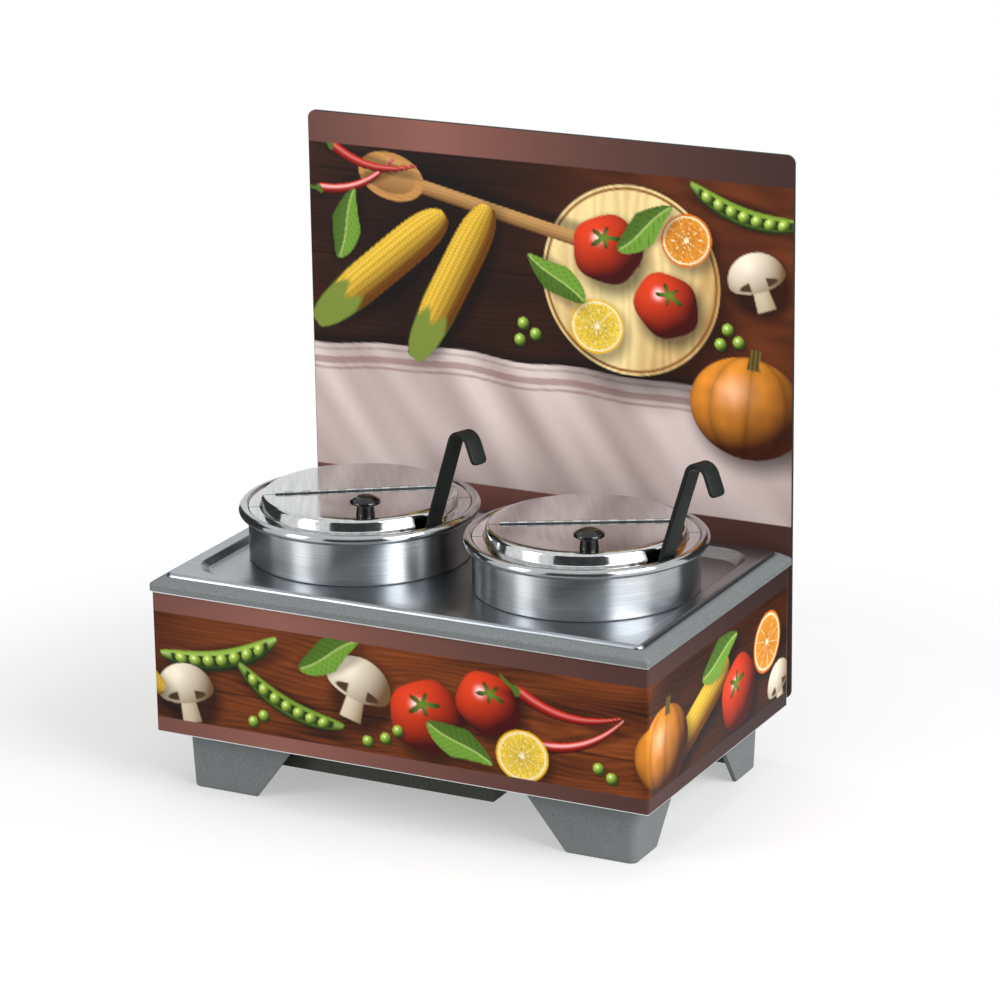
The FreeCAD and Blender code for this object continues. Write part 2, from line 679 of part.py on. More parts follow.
def ladle_frame():
    """Point on the handle beside the bead, and its unit directions along and square to it."""
    lean = math.radians(LADLE_LEAN)
    along = Vector(math.sin(lean), 0, math.cos(lean))
    outward = Vector(math.cos(lean), 0, -math.sin(lean))
    bead = Vector(BEAD_CENTRE_R, 0, BEAD_Z)
    return bead - outward * (BEAD_R + SEAT_GAP + GRIP_THICK / 2), along, outward


def hooked_strip(low, width, thick, trim):
    """Flat strip from a distance along the handle, up, over the hook and down its end."""
    seat, along, outward = ladle_frame()
    half = thick / 2
    centre = seat + along * GRIP_RUN + outward * HOOK_R
    turn = math.radians(HOOK_TURN)

    def on_arc(radius, angle):
        return centre - outward * radius * math.cos(angle) + along * radius * math.sin(angle)

    ahead = along * math.cos(turn) + outward * math.sin(turn)
    end = ahead * (HOOK_END - trim)
    start = seat + along * low
    outer, inner = HOOK_R + half, HOOK_R - half
    edges = [
        Part.LineSegment(start - outward * half, on_arc(outer, 0)).toShape(),
        Part.Arc(on_arc(outer, 0), on_arc(outer, turn / 2), on_arc(outer, turn)).toShape(),
        Part.LineSegment(on_arc(outer, turn), on_arc(outer, turn) + end).toShape(),
        Part.LineSegment(on_arc(outer, turn) + end, on_arc(inner, turn) + end).toShape(),
        Part.LineSegment(on_arc(inner, turn) + end, on_arc(inner, turn)).toShape(),
        Part.Arc(on_arc(inner, turn), on_arc(inner, turn / 2), on_arc(inner, 0)).toShape(),
        Part.LineSegment(on_arc(inner, 0), start + outward * half).toShape(),
        Part.LineSegment(start + outward * half, start - outward * half).toShape(),
    ]
    strip = Part.Face(Part.Wire(edges)).extrude(Vector(0, width, 0))
    strip.translate(Vector(0, -width / 2, 0))
    return strip, on_arc(HOOK_R, turn) + end


def bowl_place():
    """Centre of the bowl's rim and its distance along the handle, with the bowl near the pot's floor."""
    seat, along, outward = ladle_frame()
    reach = BOWL_R + STRIP_THICK / 2
    height = POT_BOTTOM + POT_SHEET + BOWL_GAP + BOWL_R
    low = (height - seat.z + outward.z * reach) / along.z
    return seat + along * low - outward * reach, low


def make_ladle():
    """Round bowl on a flat strip that runs up through the grip."""
    seat, along, outward = ladle_frame()
    centre, low = bowl_place()
    ball = Part.makeSphere(BOWL_R, centre)
    hollow = Part.makeSphere(BOWL_R - BOWL_SHEET, centre)
    above = Part.makeCylinder(2 * BOWL_R, 2 * BOWL_R, centre, along)
    strip, _ = hooked_strip(low - WELD_LENGTH, STRIP_WIDTH, STRIP_THICK, STRIP_TRIM)
    foot = seat + along * (low - WELD_LENGTH)
    weld = Part.makeBox(STRIP_THICK + BOWL_SHEET, STRIP_WIDTH, WELD_LENGTH)
    turned = FreeCAD.Matrix(
        outward.x, 0, along.x, 0,
        0, 1, 0, 0,
        outward.z, 0, along.z, 0,
        0, 0, 0, 1,
    )
    weld = weld.transformGeometry(turned)
    weld.translate(foot - outward * (STRIP_THICK / 2 + BOWL_SHEET) - Vector(0, STRIP_WIDTH / 2, 0))
    weld = weld.cut(ball)
    bowl = ball.cut(hollow).cut(above)
    return bowl.fuse([strip.cut(hollow), weld]).removeSplitter()


def make_grip(ladle_strip):
    """Moulded grip over the upper strip and the hook, with rounded edges and tip."""
    grip, tip = hooked_strip(-GRIP_BELOW, GRIP_WIDTH, GRIP_THICK, 0)
    seat, along, outward = ladle_frame()
    turn = math.radians(HOOK_TURN)
    square = outward * math.cos(turn) - along * math.sin(turn)
    corners = []
    for edge in grip.Edges:
        middle = edge.CenterOfMass
        if abs(edge.Length - GRIP_THICK) < NEAR and (middle - tip).dot(square) < NEAR:
            if abs(abs(middle.y) - GRIP_WIDTH / 2) < NEAR and (middle - tip).Length < GRIP_WIDTH:
                corners.append(edge)
    grip = grip.makeFillet(GRIP_TIP_ROUND, corners)
    faces = [f for f in grip.Faces if abs(abs(f.CenterOfMass.y) - GRIP_WIDTH / 2) < NEAR]
    rims = {e.hashCode(): e for f in faces for e in f.Edges}
    foot = seat - along * GRIP_BELOW
    soft = [e for e in rims.values() if (e.CenterOfMass - foot).dot(along) > NEAR]
    grip = grip.makeFillet(GRIP_ROUND, soft)
    return grip.cut(ladle_strip)


def make_wrap():
    """Bent sheet round front and sides, with rear returns and a top flange under the rim."""
    ends = WRAP_X - WRAP_RETURN
    plan = [(-ends, WRAP_REAR), (-WRAP_X, WRAP_REAR), (-WRAP_X, -WRAP_FRONT)]
    plan += [(WRAP_X, -WRAP_FRONT), (WRAP_X, WRAP_REAR), (ends, WRAP_REAR)]
    path = Part.Wire(rounded_path([Vector(x, y, WRAP_BOTTOM) for x, y in plan], [WRAP_BEND] * 4))
    band = path.makeOffset2D(-WRAP_SHEET, 0, True, True)
    if band.BoundBox.XMax > WRAP_X + NEAR:
        band = path.makeOffset2D(WRAP_SHEET, 0, True, True)
    panel = band.extrude(Vector(0, 0, RIM_BOTTOM - WRAP_BOTTOM))
    x, y = WRAP_X - WRAP_SHEET / 2, WRAP_FRONT - WRAP_SHEET / 2
    low = RIM_BOTTOM - WRAP_SHEET
    rear = WRAP_REAR - WRAP_SHEET - WRAP_BEND
    flange = box_between((-x, -y, low), (x, rear, RIM_BOTTOM))
    inner_x, inner_y = x - WRAP_FLANGE, y - WRAP_FLANGE
    flange = flange.cut(box_between((-inner_x, -inner_y, low), (inner_x, rear, RIM_BOTTOM)))
    trim = block(WRAP_X - WRAP_SHEET / 2, WRAP_FRONT - WRAP_SHEET / 2, WRAP_BEND, low, RIM_BOTTOM)
    panel = panel.fuse(flange.common(trim))
    for px, py in wrap_screw_places():
        panel = panel.cut(rod(SCREW_R + HOLE_EASE, (px, py, low - PAST), (px, py, RIM_BOTTOM)))
    for px, pz in board_screw_places():
        panel = panel.cut(rod(SCREW_R, (px, WRAP_REAR - 2 * WRAP_SHEET, pz), (px, WRAP_REAR, pz)))
    return panel.removeSplitter()


def board_screw_places():
    """Screws of the back board, through standoffs into the wrap's rear returns."""
    heights = (WRAP_BOTTOM + BOARD_SCREW_LOW, WRAP_BOTTOM + BOARD_SCREW_HIGH)
    return [(sx * (BOARD_X - BOARD_SCREW_INSET), z) for sx in (-1, 1) for z in heights]


def make_board():
    """Upright board with round corners and four screw holes."""
    middle = (BOARD_BOTTOM + BOARD_TOP) / 2
    board = block(BOARD_X, (BOARD_TOP - BOARD_BOTTOM) / 2, BOARD_CORNER, 0, BOARD_THICK)
    board.rotate(ORIGIN, Vector(1, 0, 0), 90)
    board.translate(Vector(0, BOARD_REAR, middle))
    for x, z in board_screw_places():
        board = board.cut(rod(SCREW_R + HOLE_EASE, (x, BOARD_FRONT - PAST, z), (x, BOARD_REAR + PAST, z)))
    return board


def element_route():
    """Heating element: up from one pin, once round under the well and down to the other pin."""
    corners = [(PIN_NEAR_X, -ELEMENT_Y), (ELEMENT_X, -ELEMENT_Y), (ELEMENT_X, ELEMENT_Y)]
    corners += [(-ELEMENT_X, ELEMENT_Y), (-ELEMENT_X, -ELEMENT_Y), (PIN_FAR_X, -ELEMENT_Y)]
    level = [(PIN_NEAR_X, ELEMENT_PIN_Y)] + corners + [(PIN_FAR_X, ELEMENT_PIN_Y)]
    points = [(PIN_NEAR_X, ELEMENT_PIN_Y, PIN_END)] + [(x, y, ELEMENT_Z) for x, y in level]
    points.append((PIN_FAR_X, ELEMENT_PIN_Y, PIN_END))
    return points, [PIN_BEND] + [ELEMENT_BEND] * len(corners) + [PIN_BEND]


def make_clamp(x, y, radius, centre_z):
    """Bridge strap welded under the well, holding a tube up against it."""
    gap = radius + CONTACT_GAP + CLAMP_SHEET
    low = centre_z - gap
    outer = box_between((x - CLAMP_WIDTH / 2, y - gap, low), (x + CLAMP_WIDTH / 2, y + gap, WELL_UNDER))
    room = gap - CLAMP_SHEET
    inner = box_between(
        (x - CLAMP_WIDTH / 2, y - room, low + CLAMP_SHEET), (x + CLAMP_WIDTH / 2, y + room, WELL_UNDER)
    )
    return outer.cut(inner)


def make_bulb():
    """Thermostat bulb under the well, with its capillary down to the thermostat."""
    x, y = BULB_X, BULB_Y
    bulb = rod(BULB_R, (x, y, BULB_Z), (x + BULB_LENGTH, y, BULB_Z))
    depth = BOX_REAR - BOX_SHEET - THERMOSTAT_DEPTH
    low = CONTROL_Z + THERMOSTAT_HEIGHT / 2 - CAPILLARY_ENTRY
    points = [(x + PAST, y, BULB_Z), (CAPILLARY_X, y, BULB_Z), (CAPILLARY_X, y, low)]
    points += [(THERMOSTAT_X, (y + depth) / 2, low), (THERMOSTAT_X, depth, low)]
    return bulb.fuse(tube_along(points, CAPILLARY_BEND, CAPILLARY_R)).removeSplitter()


def heater_passages(ease):
    """Bars for the holes that the element's pins and the capillary pass through."""
    places = [(PIN_NEAR_X, ELEMENT_PIN_Y, ELEMENT_R), (PIN_FAR_X, ELEMENT_PIN_Y, ELEMENT_R)]
    places.append((CAPILLARY_X, BULB_Y, CAPILLARY_R))
    low = COVER_BOTTOM - PAST
    return [rod(radius + ease, (x, y, low), (x, y, ELEMENT_Z)) for x, y, radius in places]


def make_insulation():
    """Glass-fibre blanket on the cover."""
    slab = block(INSULATION_X, INSULATION_Y, HOUSING_CORNER, COVER_TOP, COVER_TOP + INSULATION_THICK)
    return slab.cut(heater_passages(BLANKET_EASE))


def box_screw_places():
    """Screws of the control box's two end flanges."""
    ends = (BOX_LEFT - BOX_FLANGE / 2, BOX_RIGHT + BOX_FLANGE / 2)
    return [(x, y) for x in ends for y in (BOX_FRONT + BOX_SCREW_INSET, 0.0, BOX_REAR - BOX_SCREW_INSET)]


def make_cover():
    """Sheet cover across the housing's underside."""
    x, y = inner_half(COVER_BOTTOM)
    corner = HOUSING_CORNER - HOUSING_WALL
    sheet = block(x - COVER_CLEAR, y - COVER_CLEAR, corner, COVER_BOTTOM, COVER_TOP)
    ends, sides = boss_places()
    for px, py in ends + sides + box_screw_places():
        sheet = sheet.cut(rod(SCREW_R + HOLE_EASE, (px, py, COVER_BOTTOM - PAST), (px, py, COVER_TOP + PAST)))
    return sheet.cut(heater_passages(COVER_EASE))


def make_control_box():
    """Folded box, open at the top, stepped down towards the operator's side."""
    step, deep = BOX_REAR - BOX_STEP_TOP, BOX_REAR - BOX_STEP_FOOT
    section = [(BOX_FRONT, COVER_BOTTOM), (BOX_FRONT, BOX_BOTTOM), (step, BOX_BOTTOM), (deep, BOX_DEEP)]
    section += [(BOX_REAR, BOX_DEEP), (BOX_REAR, COVER_BOTTOM)]
    outline = Part.makePolygon([Vector(BOX_LEFT, y, z) for y, z in section + section[:1]])
    length = BOX_RIGHT - BOX_LEFT
    body = Part.Face(outline).extrude(Vector(length, 0, 0))
    inside = outline.makeOffset2D(-BOX_SHEET, 2)
    hollow = Part.Face(inside).extrude(Vector(length - 2 * BOX_SHEET, 0, 0))
    hollow.translate(Vector(BOX_SHEET, 0, 0))
    body = body.cut([hollow, box_between(
        (BOX_LEFT + BOX_SHEET, BOX_FRONT + BOX_SHEET, COVER_BOTTOM - 3 * BOX_SHEET),
        (BOX_RIGHT - BOX_SHEET, BOX_REAR - BOX_SHEET, COVER_BOTTOM),
    )])
    under = COVER_BOTTOM - BOX_SHEET
    spans = [(BOX_LEFT - BOX_FLANGE, BOX_LEFT + BOX_SHEET), (BOX_RIGHT - BOX_SHEET, BOX_RIGHT + BOX_FLANGE)]
    for low, high in spans:
        body = body.fuse(box_between((low, BOX_FRONT, under), (high, BOX_REAR, COVER_BOTTOM)))
    for x, y in box_screw_places():
        body = body.cut(rod(SCREW_R + HOLE_EASE, (x, y, under - PAST), (x, y, COVER_BOTTOM)))
    inside, outside = BOX_REAR - BOX_SHEET - PAST, BOX_REAR + PAST
    for x, radius in ((THERMOSTAT_X, NECK_R), (PILOT_X, PILOT_R), (GLAND_X, GLAND_R)):
        body = body.cut(rod(radius + HOLE_EASE, (x, inside, CONTROL_Z), (x, outside, CONTROL_Z)))
    return body.removeSplitter()


def make_thermostat():
    """Switch body behind the box wall, with its neck, a bore for the spindle and two tabs."""
    inside = BOX_REAR - BOX_SHEET
    half, height = THERMOSTAT_WIDTH / 2, THERMOSTAT_HEIGHT / 2
    low = (THERMOSTAT_X - half, inside - THERMOSTAT_DEPTH, CONTROL_Z - height)
    body = box_between(low, (THERMOSTAT_X + half, inside, CONTROL_Z + height))
    long = [e for e in body.Edges if abs(e.BoundBox.YMax - e.BoundBox.YMin - THERMOSTAT_DEPTH) < NEAR]
    body = body.makeFillet(THERMOSTAT_ROUND, long)
    neck = rod(NECK_R, (THERMOSTAT_X, inside - PAST, CONTROL_Z), (THERMOSTAT_X, BOX_REAR, CONTROL_Z))
    body = body.fuse(neck)
    for tab_low, tab_high in thermostat_tabs():
        body = body.fuse(box_between(tab_low, tab_high))
    bore = rod(
        SPINDLE_R + SPINDLE_CLEAR,
        (THERMOSTAT_X, inside - THERMOSTAT_DEPTH / 2, CONTROL_Z),
        (THERMOSTAT_X, BOX_REAR + PAST, CONTROL_Z),
    )
    return body.cut(bore).removeSplitter()


def thermostat_tabs():
    """Two blade terminals: one on the inner face, one on the side."""
    face = BOX_REAR - BOX_SHEET - THERMOSTAT_DEPTH
    side = THERMOSTAT_X + THERMOSTAT_WIDTH / 2
    left = THERMOSTAT_X - THERMOSTAT_WIDTH / 2 + TAB_INSET
    low = CONTROL_Z - INNER_TAB_DROP
    inner = (
        (left, face - TAB_LENGTH, low - TAB_SHEET / 2),
        (left + TAB_WIDTH, face + TAB_ROOT, low + TAB_SHEET / 2),
    )
    low = CONTROL_Z - TAB_DROP
    outer = (
        (side - TAB_ROOT, face + TAB_INSET, low - TAB_SHEET / 2),
        (side + TAB_LENGTH, face + TAB_INSET + TAB_WIDTH, low + TAB_SHEET / 2),
    )
    return inner, outer


def make_spindle():
    """Thermostat spindle from inside the switch out into the dial."""
    start = BOX_REAR - BOX_SHEET - THERMOSTAT_DEPTH / 2 + SPINDLE_END_GAP
    end = BOX_REAR + SPINDLE_OUT
    return rod(SPINDLE_R, (THERMOSTAT_X, start, CONTROL_Z), (THERMOSTAT_X, end, CONTROL_Z))


def make_dial():
    """Skirted dial with a fluted grip and a pointer rib."""
    back = BOX_REAR + DIAL_GAP
    front = back + DIAL_DEPTH
    x, z = THERMOSTAT_X, CONTROL_Z
    skirt = rod(DIAL_R, (x, back, z), (x, back + DIAL_SKIRT, z))
    grip = rod(DIAL_GRIP_R, (x, back, z), (x, front, z))
    grip = grip.makeFillet(DIAL_ROUND, [e for e in grip.Edges if e.BoundBox.YMin > front - NEAR])
    flutes = []
    for index in range(FLUTES):
        angle = 2 * math.pi * (index + 0.5) / FLUTES
        flute_x = x + (DIAL_GRIP_R + FLUTE_OUT) * math.sin(angle)
        flute_z = z + (DIAL_GRIP_R + FLUTE_OUT) * math.cos(angle)
        flutes.append(rod(FLUTE_R, (flute_x, back + DIAL_SKIRT, flute_z), (flute_x, front + PAST, flute_z)))
    rib = box_between(
        (x - POINTER_WIDTH / 2, front - DIAL_ROUND, z),
        (x + POINTER_WIDTH / 2, front + POINTER_RISE, z + DIAL_GRIP_R - DIAL_ROUND),
    )
    bore = rod(SPINDLE_R, (x, back - PAST, z), (x, BOX_REAR + SPINDLE_OUT, z))
    return skirt.fuse(grip.cut(flutes)).fuse(rib).cut(bore).removeSplitter()


def make_pilot():
    """Pilot lamp holder through the wall, and its lens."""
    inside = BOX_REAR - BOX_SHEET
    face = BOX_REAR + PILOT_BEZEL
    holder = rod(PILOT_R, (PILOT_X, inside - PILOT_DEPTH, CONTROL_Z), (PILOT_X, BOX_REAR, CONTROL_Z))
    holder = holder.fuse(rod(PILOT_BEZEL_R, (PILOT_X, BOX_REAR, CONTROL_Z), (PILOT_X, face, CONTROL_Z)))
    lens = Part.makeSphere(PILOT_R, Vector(PILOT_X, face, CONTROL_Z))
    reach = 2 * PILOT_R
    lens = lens.common(box_between(
        (PILOT_X - reach, face, CONTROL_Z - reach), (PILOT_X + reach, face + reach, CONTROL_Z + reach)
    ))
    return holder.removeSplitter(), lens


def make_gland():
    """Cord gland: flanged bushing through the wall with a nut inside."""
    inside = BOX_REAR - BOX_SHEET
    face = BOX_REAR + GLAND_FLANGE
    outer = rod(GLAND_R, (GLAND_X, inside - GLAND_DEPTH, CONTROL_Z), (GLAND_X, BOX_REAR, CONTROL_Z))
    outer = outer.fuse(rod(GLAND_FLANGE_R, (GLAND_X, BOX_REAR, CONTROL_Z), (GLAND_X, face, CONTROL_Z)))
    outer = outer.makeFillet(GLAND_ROUND, [e for e in outer.Edges if e.BoundBox.YMin > face - NEAR])
    nut = rod(GLAND_FLANGE_R, (GLAND_X, inside - GLAND_NUT, CONTROL_Z), (GLAND_X, inside, CONTROL_Z))
    outer = outer.fuse(nut)
    start = (GLAND_X, inside - GLAND_DEPTH - PAST, CONTROL_Z)
    return outer.cut(rod(GLAND_BORE_R, start, (GLAND_X, face + PAST, CONTROL_Z))).removeSplitter()


def block_poles():
    """X places of the terminal block's poles."""
    pitch = BLOCK_WIDTH / BLOCK_POLES
    return [BLOCK_X + (index - (BLOCK_POLES - 1) / 2) * pitch for index in range(BLOCK_POLES)]


def make_terminal_block():
    """Moulded block on the box floor, walled between its poles, and its clamp screws."""
    floor = BOX_DEEP + BOX_SHEET
    top = floor + BLOCK_HEIGHT
    front, rear = BLOCK_Y - BLOCK_DEPTH / 2, BLOCK_Y + BLOCK_DEPTH / 2
    body = box_between((BLOCK_X - BLOCK_WIDTH / 2, front, floor), (BLOCK_X + BLOCK_WIDTH / 2, rear, top))
    half = BLOCK_WIDTH / BLOCK_POLES / 2 - POLE_WALL
    seat = top - POLE_DEPTH
    screws = []
    for pole in block_poles():
        for low, high in ((front, front + POLE_REACH), (rear - POLE_REACH, rear)):
            body = body.cut(box_between((pole - half, low, seat), (pole + half, high, top)))
            place = (pole, (low + high) / 2, seat)
            body = body.cut(rod(SCREW_R, place, (pole, (low + high) / 2, seat - POLE_SCREW - PAST)))
            screws.append(screw(place, (0, 0, -1), POLE_SCREW))
    return body, grouped(screws)


def make_wires():
    """Leads between the element pins, the thermostat, the terminal block and the pilot lamp."""
    first, middle, last = block_poles()
    entry = CONTROL_Z - TAB_DROP
    front, rear = BLOCK_Y - BLOCK_DEPTH / 2, BLOCK_Y + BLOCK_DEPTH / 2
    near, far, pin = PIN_NEAR_X, PIN_FAR_X, ELEMENT_PIN_Y
    level = BOX_BOTTOM + WIRE_RISE
    inner, outer = thermostat_tabs()
    tab = ((inner[0][0] + inner[1][0]) / 2, inner[0][1], (inner[0][2] + inner[1][2]) / 2)
    side = (outer[1][0], (outer[0][1] + outer[1][1]) / 2, (outer[0][2] + outer[1][2]) / 2)
    lamp = BOX_REAR - BOX_SHEET - PILOT_DEPTH
    step = BOX_REAR - BOX_STEP_TOP
    turn = rear + LAMP_TURN
    routes = [
        [(far, pin, PIN_END), (far, pin, level), (far, step + WIRE_RUN, level),
         (tab[0], tab[1] - WIRE_LEAD, tab[2]), tab],
        [(near, pin, PIN_END), (near, pin, level), (near, step, level),
         (first, front - WIRE_RUN, entry), (first, front, entry)],
        [(first, rear, entry), (first, side[1], entry), side],
        [(middle, rear, entry), (middle, rear + LAMP_LEAD, entry), (middle, turn, CONTROL_Z),
         (PILOT_X, turn, CONTROL_Z), (PILOT_X, lamp, CONTROL_Z)],
    ]
    pins = [WIRE_TIGHT_BEND, WIRE_BEND, WIRE_BEND]
    bends = [pins, pins, [WIRE_BEND], [LAMP_BEND, LAMP_BEND, WIRE_TIGHT_BEND]]
    return grouped([tube_along(route, bend, WIRE_R) for route, bend in zip(routes, bends)])


def make_parts():
    """All nodes by name."""
    parts = {
        "housing": make_housing(),
        "well_pan": make_well(),
        "wrap_panel": make_wrap(),
        "back_board": make_board(),
        "heater_cover": make_cover(),
        "insulation_blanket": make_insulation(),
        "control_box": make_control_box(),
        "heating_element": tube_along(*element_route(), ELEMENT_R),
        "thermostat_bulb": make_bulb(),
        "thermostat_switch": make_thermostat(),
        "thermostat_spindle": make_spindle(),
        "thermostat_dial": make_dial(),
        "cord_gland": make_gland(),
        "lead_wires": make_wires(),
        "adaptor_plate": make_plate(),
    }
    parts["pilot_lamp"], parts["pilot_lens"] = make_pilot()
    parts["terminal_block"], parts["terminal_screws"] = make_terminal_block()
    straps = [(sx * CLAMP_AT_X, sy * ELEMENT_Y) for sx in (-1, 1) for sy in (-1, 1)]
    clamps = [make_clamp(x, y, ELEMENT_R, ELEMENT_Z) for x, y in straps]
    clamps.append(make_clamp(BULB_X + BULB_LENGTH / 2, BULB_Y, BULB_R, BULB_Z))
    parts["element_clamps"] = grouped(clamps)
    ends, sides = boss_places()
    cover_length = COVER_SHEET + BOSS_HEIGHT - BOSS_FLOOR - SCREW_TIP_GAP
    places = [(x, y, COVER_BOTTOM) for x, y in ends + sides]
    parts["cover_screws"] = grouped([screw(place, (0, 0, 1), cover_length) for place in places])
    box_length = BOX_SHEET + COVER_SHEET
    places = [(x, y, COVER_BOTTOM - BOX_SHEET) for x, y in box_screw_places()]
    parts["box_screws"] = grouped([screw(place, (0, 0, 1), box_length) for place in places])
    rim_length = WRAP_SHEET + RIM_FACE - SCREW_TIP_GAP
    places = [(x, y, RIM_BOTTOM - WRAP_SHEET) for x, y in wrap_screw_places()]
    parts["wrap_screws"] = grouped([screw(place, (0, 0, 1), rim_length) for place in places])
    board_length = BOARD_REAR - WRAP_REAR + 2 * WRAP_SHEET
    places = [(x, BOARD_REAR, z) for x, z in board_screw_places()]
    parts["board_screws"] = grouped([screw(place, (0, -1, 0), board_length) for place in places])
    bushes = []
    for x, z in board_screw_places():
        bushes.append(ring(STANDOFF_R, SCREW_R + HOLE_EASE, (x, WRAP_REAR, z), (x, BOARD_FRONT, z)))
    parts["board_standoffs"] = grouped(bushes)
    pot, disc, pin = make_pot(), make_lid_disc(), make_hinge_pin()
    rear_leaf, front_leaf = make_hinge_leaf(False), make_hinge_leaf(True)
    lid_rear, knob, knob_screw = make_lid_rear(disc), make_lid_knob(), make_knob_screw()
    ladle = make_ladle()
    grip = make_grip(ladle)
    for side, x in SIDES.items():
        turn = LID_TURN[side]
        parts[side + "_pot"] = placed(pot, 0, x)
        parts[side + "_lid_rear"] = placed(lid_rear, turn, x)
        parts[side + "_lid_flap"] = placed(make_flap(disc, LADLE_BEARING - turn), turn, x)
        parts[side + "_hinge_rear_leaf"] = placed(rear_leaf, turn, x)
        parts[side + "_hinge_front_leaf"] = placed(front_leaf, turn, x)
        parts[side + "_hinge_pin"] = placed(pin, turn, x)
        parts[side + "_lid_knob"] = placed(knob, turn, x)
        parts[side + "_knob_screw"] = placed(knob_screw, turn, x)
        parts[side + "_ladle"] = placed(ladle, LADLE_BEARING, x)
        parts[side + "_ladle_grip"] = placed(grip, LADLE_BEARING, x)
    return parts


os.makedirs("parts", exist_ok=True)
for name, shape in make_parts().items():
    shape.exportStep("parts/" + name + ".step")
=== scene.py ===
import math

import bmesh
import bpy
import numpy as np
from mathutils import Matrix, Vector


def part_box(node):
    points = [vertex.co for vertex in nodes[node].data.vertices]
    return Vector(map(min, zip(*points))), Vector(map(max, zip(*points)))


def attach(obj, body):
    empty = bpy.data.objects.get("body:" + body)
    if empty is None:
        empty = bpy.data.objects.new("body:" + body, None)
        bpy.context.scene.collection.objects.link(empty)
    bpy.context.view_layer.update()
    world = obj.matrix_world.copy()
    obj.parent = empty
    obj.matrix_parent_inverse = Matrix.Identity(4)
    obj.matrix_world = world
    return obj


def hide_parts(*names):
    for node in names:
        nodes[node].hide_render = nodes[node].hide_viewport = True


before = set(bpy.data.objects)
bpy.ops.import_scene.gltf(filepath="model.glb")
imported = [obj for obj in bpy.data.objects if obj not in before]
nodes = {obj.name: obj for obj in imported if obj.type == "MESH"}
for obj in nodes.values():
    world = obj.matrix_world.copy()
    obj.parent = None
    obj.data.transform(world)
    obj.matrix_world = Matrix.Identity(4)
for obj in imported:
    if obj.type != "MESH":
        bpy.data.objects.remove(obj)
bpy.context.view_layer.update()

# Sizes in millimetres, the same as the solids'. Pieces are worked out in them and scaled to metres once.
MM = 0.001
POT_AT = {"left": -127.75, "right": 127.75}
LID_TURN = {"left": 33.0, "right": 28.0}
POT_R, POT_SHEET, POT_BOTTOM, FLOOR_TOP = 106.5, 0.8, 85.0, 224.6
POT_FOOT_ROUND, POT_SHOULDER_ROUND, POT_COLLAR_ROUND = 17.2, 2.0, 1.2
COLLAR_R, BEAD_Z, BEAD_R, BEAD_CURL = 113.7, 274.5, 5.2, 290.0
BEAD_CENTRE_R = COLLAR_R - POT_SHEET + BEAD_R
LID_SHEET, LID_RISE, LID_CUT, HINGE_SLOT, HINGE_REACH = 0.8, 13.0, 0.6, 2.4, 85.8
LID_SEAT, LID_SEAT_TURN = 5.5, math.radians(22.0)
LID_UNDER = BEAD_Z + LID_SEAT * math.sin(LID_SEAT_TURN)
LID_TOP = LID_UNDER + LID_RISE
LID_FLANGE_R = BEAD_CENTRE_R - LID_SEAT * math.cos(LID_SEAT_TURN)
LID_FLAT_R, LID_EDGE_R, LID_SKIRT_R, LID_EDGE_ROUND, LID_SKIRT_ROUND = 90.0, 98.8, 102.0, 5.0, 1.5
NOTCH_HALF, NOTCH_R, NOTCH_Z = 15.0, 94.0, LID_TOP - 4.5
KNOB_OUT, KNOB_HEIGHT, KNOB_CAP = 82.0, 20.0, 9.0
KNOB_FOOT_R, KNOB_NECK_R, KNOB_CAP_R, KNOB_CROWN_R = 9.7, 8.4, 15.5, 8.5
LADLE_BEARING, LADLE_LEAN = -20.0, math.radians(20.5)
GRIP_WIDTH, GRIP_THICK, GRIP_RUN, GRIP_BELOW = 19.0, 5.0, 104.0, 30.0
GRIP_ROUND, GRIP_TIP, GRIP_CLEAR = 1.8, 6.0, 0.3
HOOK_R, HOOK_TURN, HOOK_END = 13.7, math.radians(135.0), 21.5
STRIP_WIDTH, STRIP_THICK, STRIP_ROUND, STRIP_SHORT, STRIP_BELOW = 13.0, 2.0, 0.4, 5.0, 6.0
BOWL_R, BOWL_SHEET, BOWL_CLEAR = 39.0, 1.0, 0.4
WRAP_X, WRAP_FRONT, WRAP_REAR, WRAP_BEND = 274.0, 170.0, 166.8, 2.6
WRAP_LOW, WRAP_HIGH, WRAP_PICTURE = 64.5, 214.8, (80.5, 193.5)
BOARD_X, BOARD_LOW, BOARD_HIGH, BOARD_FACE, BOARD_CORNER = 275.0, 68.0, 637.4, 172.5, 9.0
BOARD_PICTURE = (254.0, 604.0)
# Thickness of a film, its inset from a board's edge, and how far a painted band runs past the film
FILM, FILM_INSET, PAST = 0.12, 0.6, 5.0
# Depth of the grain and of the brushing lines, in metres
GRAIN_DEPTH, LINE_DEPTH = 0.0003, 0.0002


def linear(code):
    """Linear RGB of a hex sRGB colour."""
    value = np.array([int(code[i:i + 2], 16) for i in (1, 3, 5)]) / 255.0
    return np.where(value <= 0.04045, value / 12.92, ((value + 0.055) / 1.055) ** 2.4)


def rgba(code):
    """Linear RGBA of a hex sRGB colour, for a socket."""
    return (*linear(code), 1.0)


# Meshes


def grid_faces(rows, columns, round_rows=False, round_columns=False):
    """Quads of a grid of points stored row by row, closed on itself where asked."""
    r, c = np.meshgrid(
        np.arange(rows if round_rows else rows - 1),
        np.arange(columns if round_columns else columns - 1),
        indexing="ij",
    )
    r1, c1 = (r + 1) % rows, (c + 1) % columns
    return np.stack([r * columns + c, r1 * columns + c, r1 * columns + c1, r * columns + c1], axis=-1)


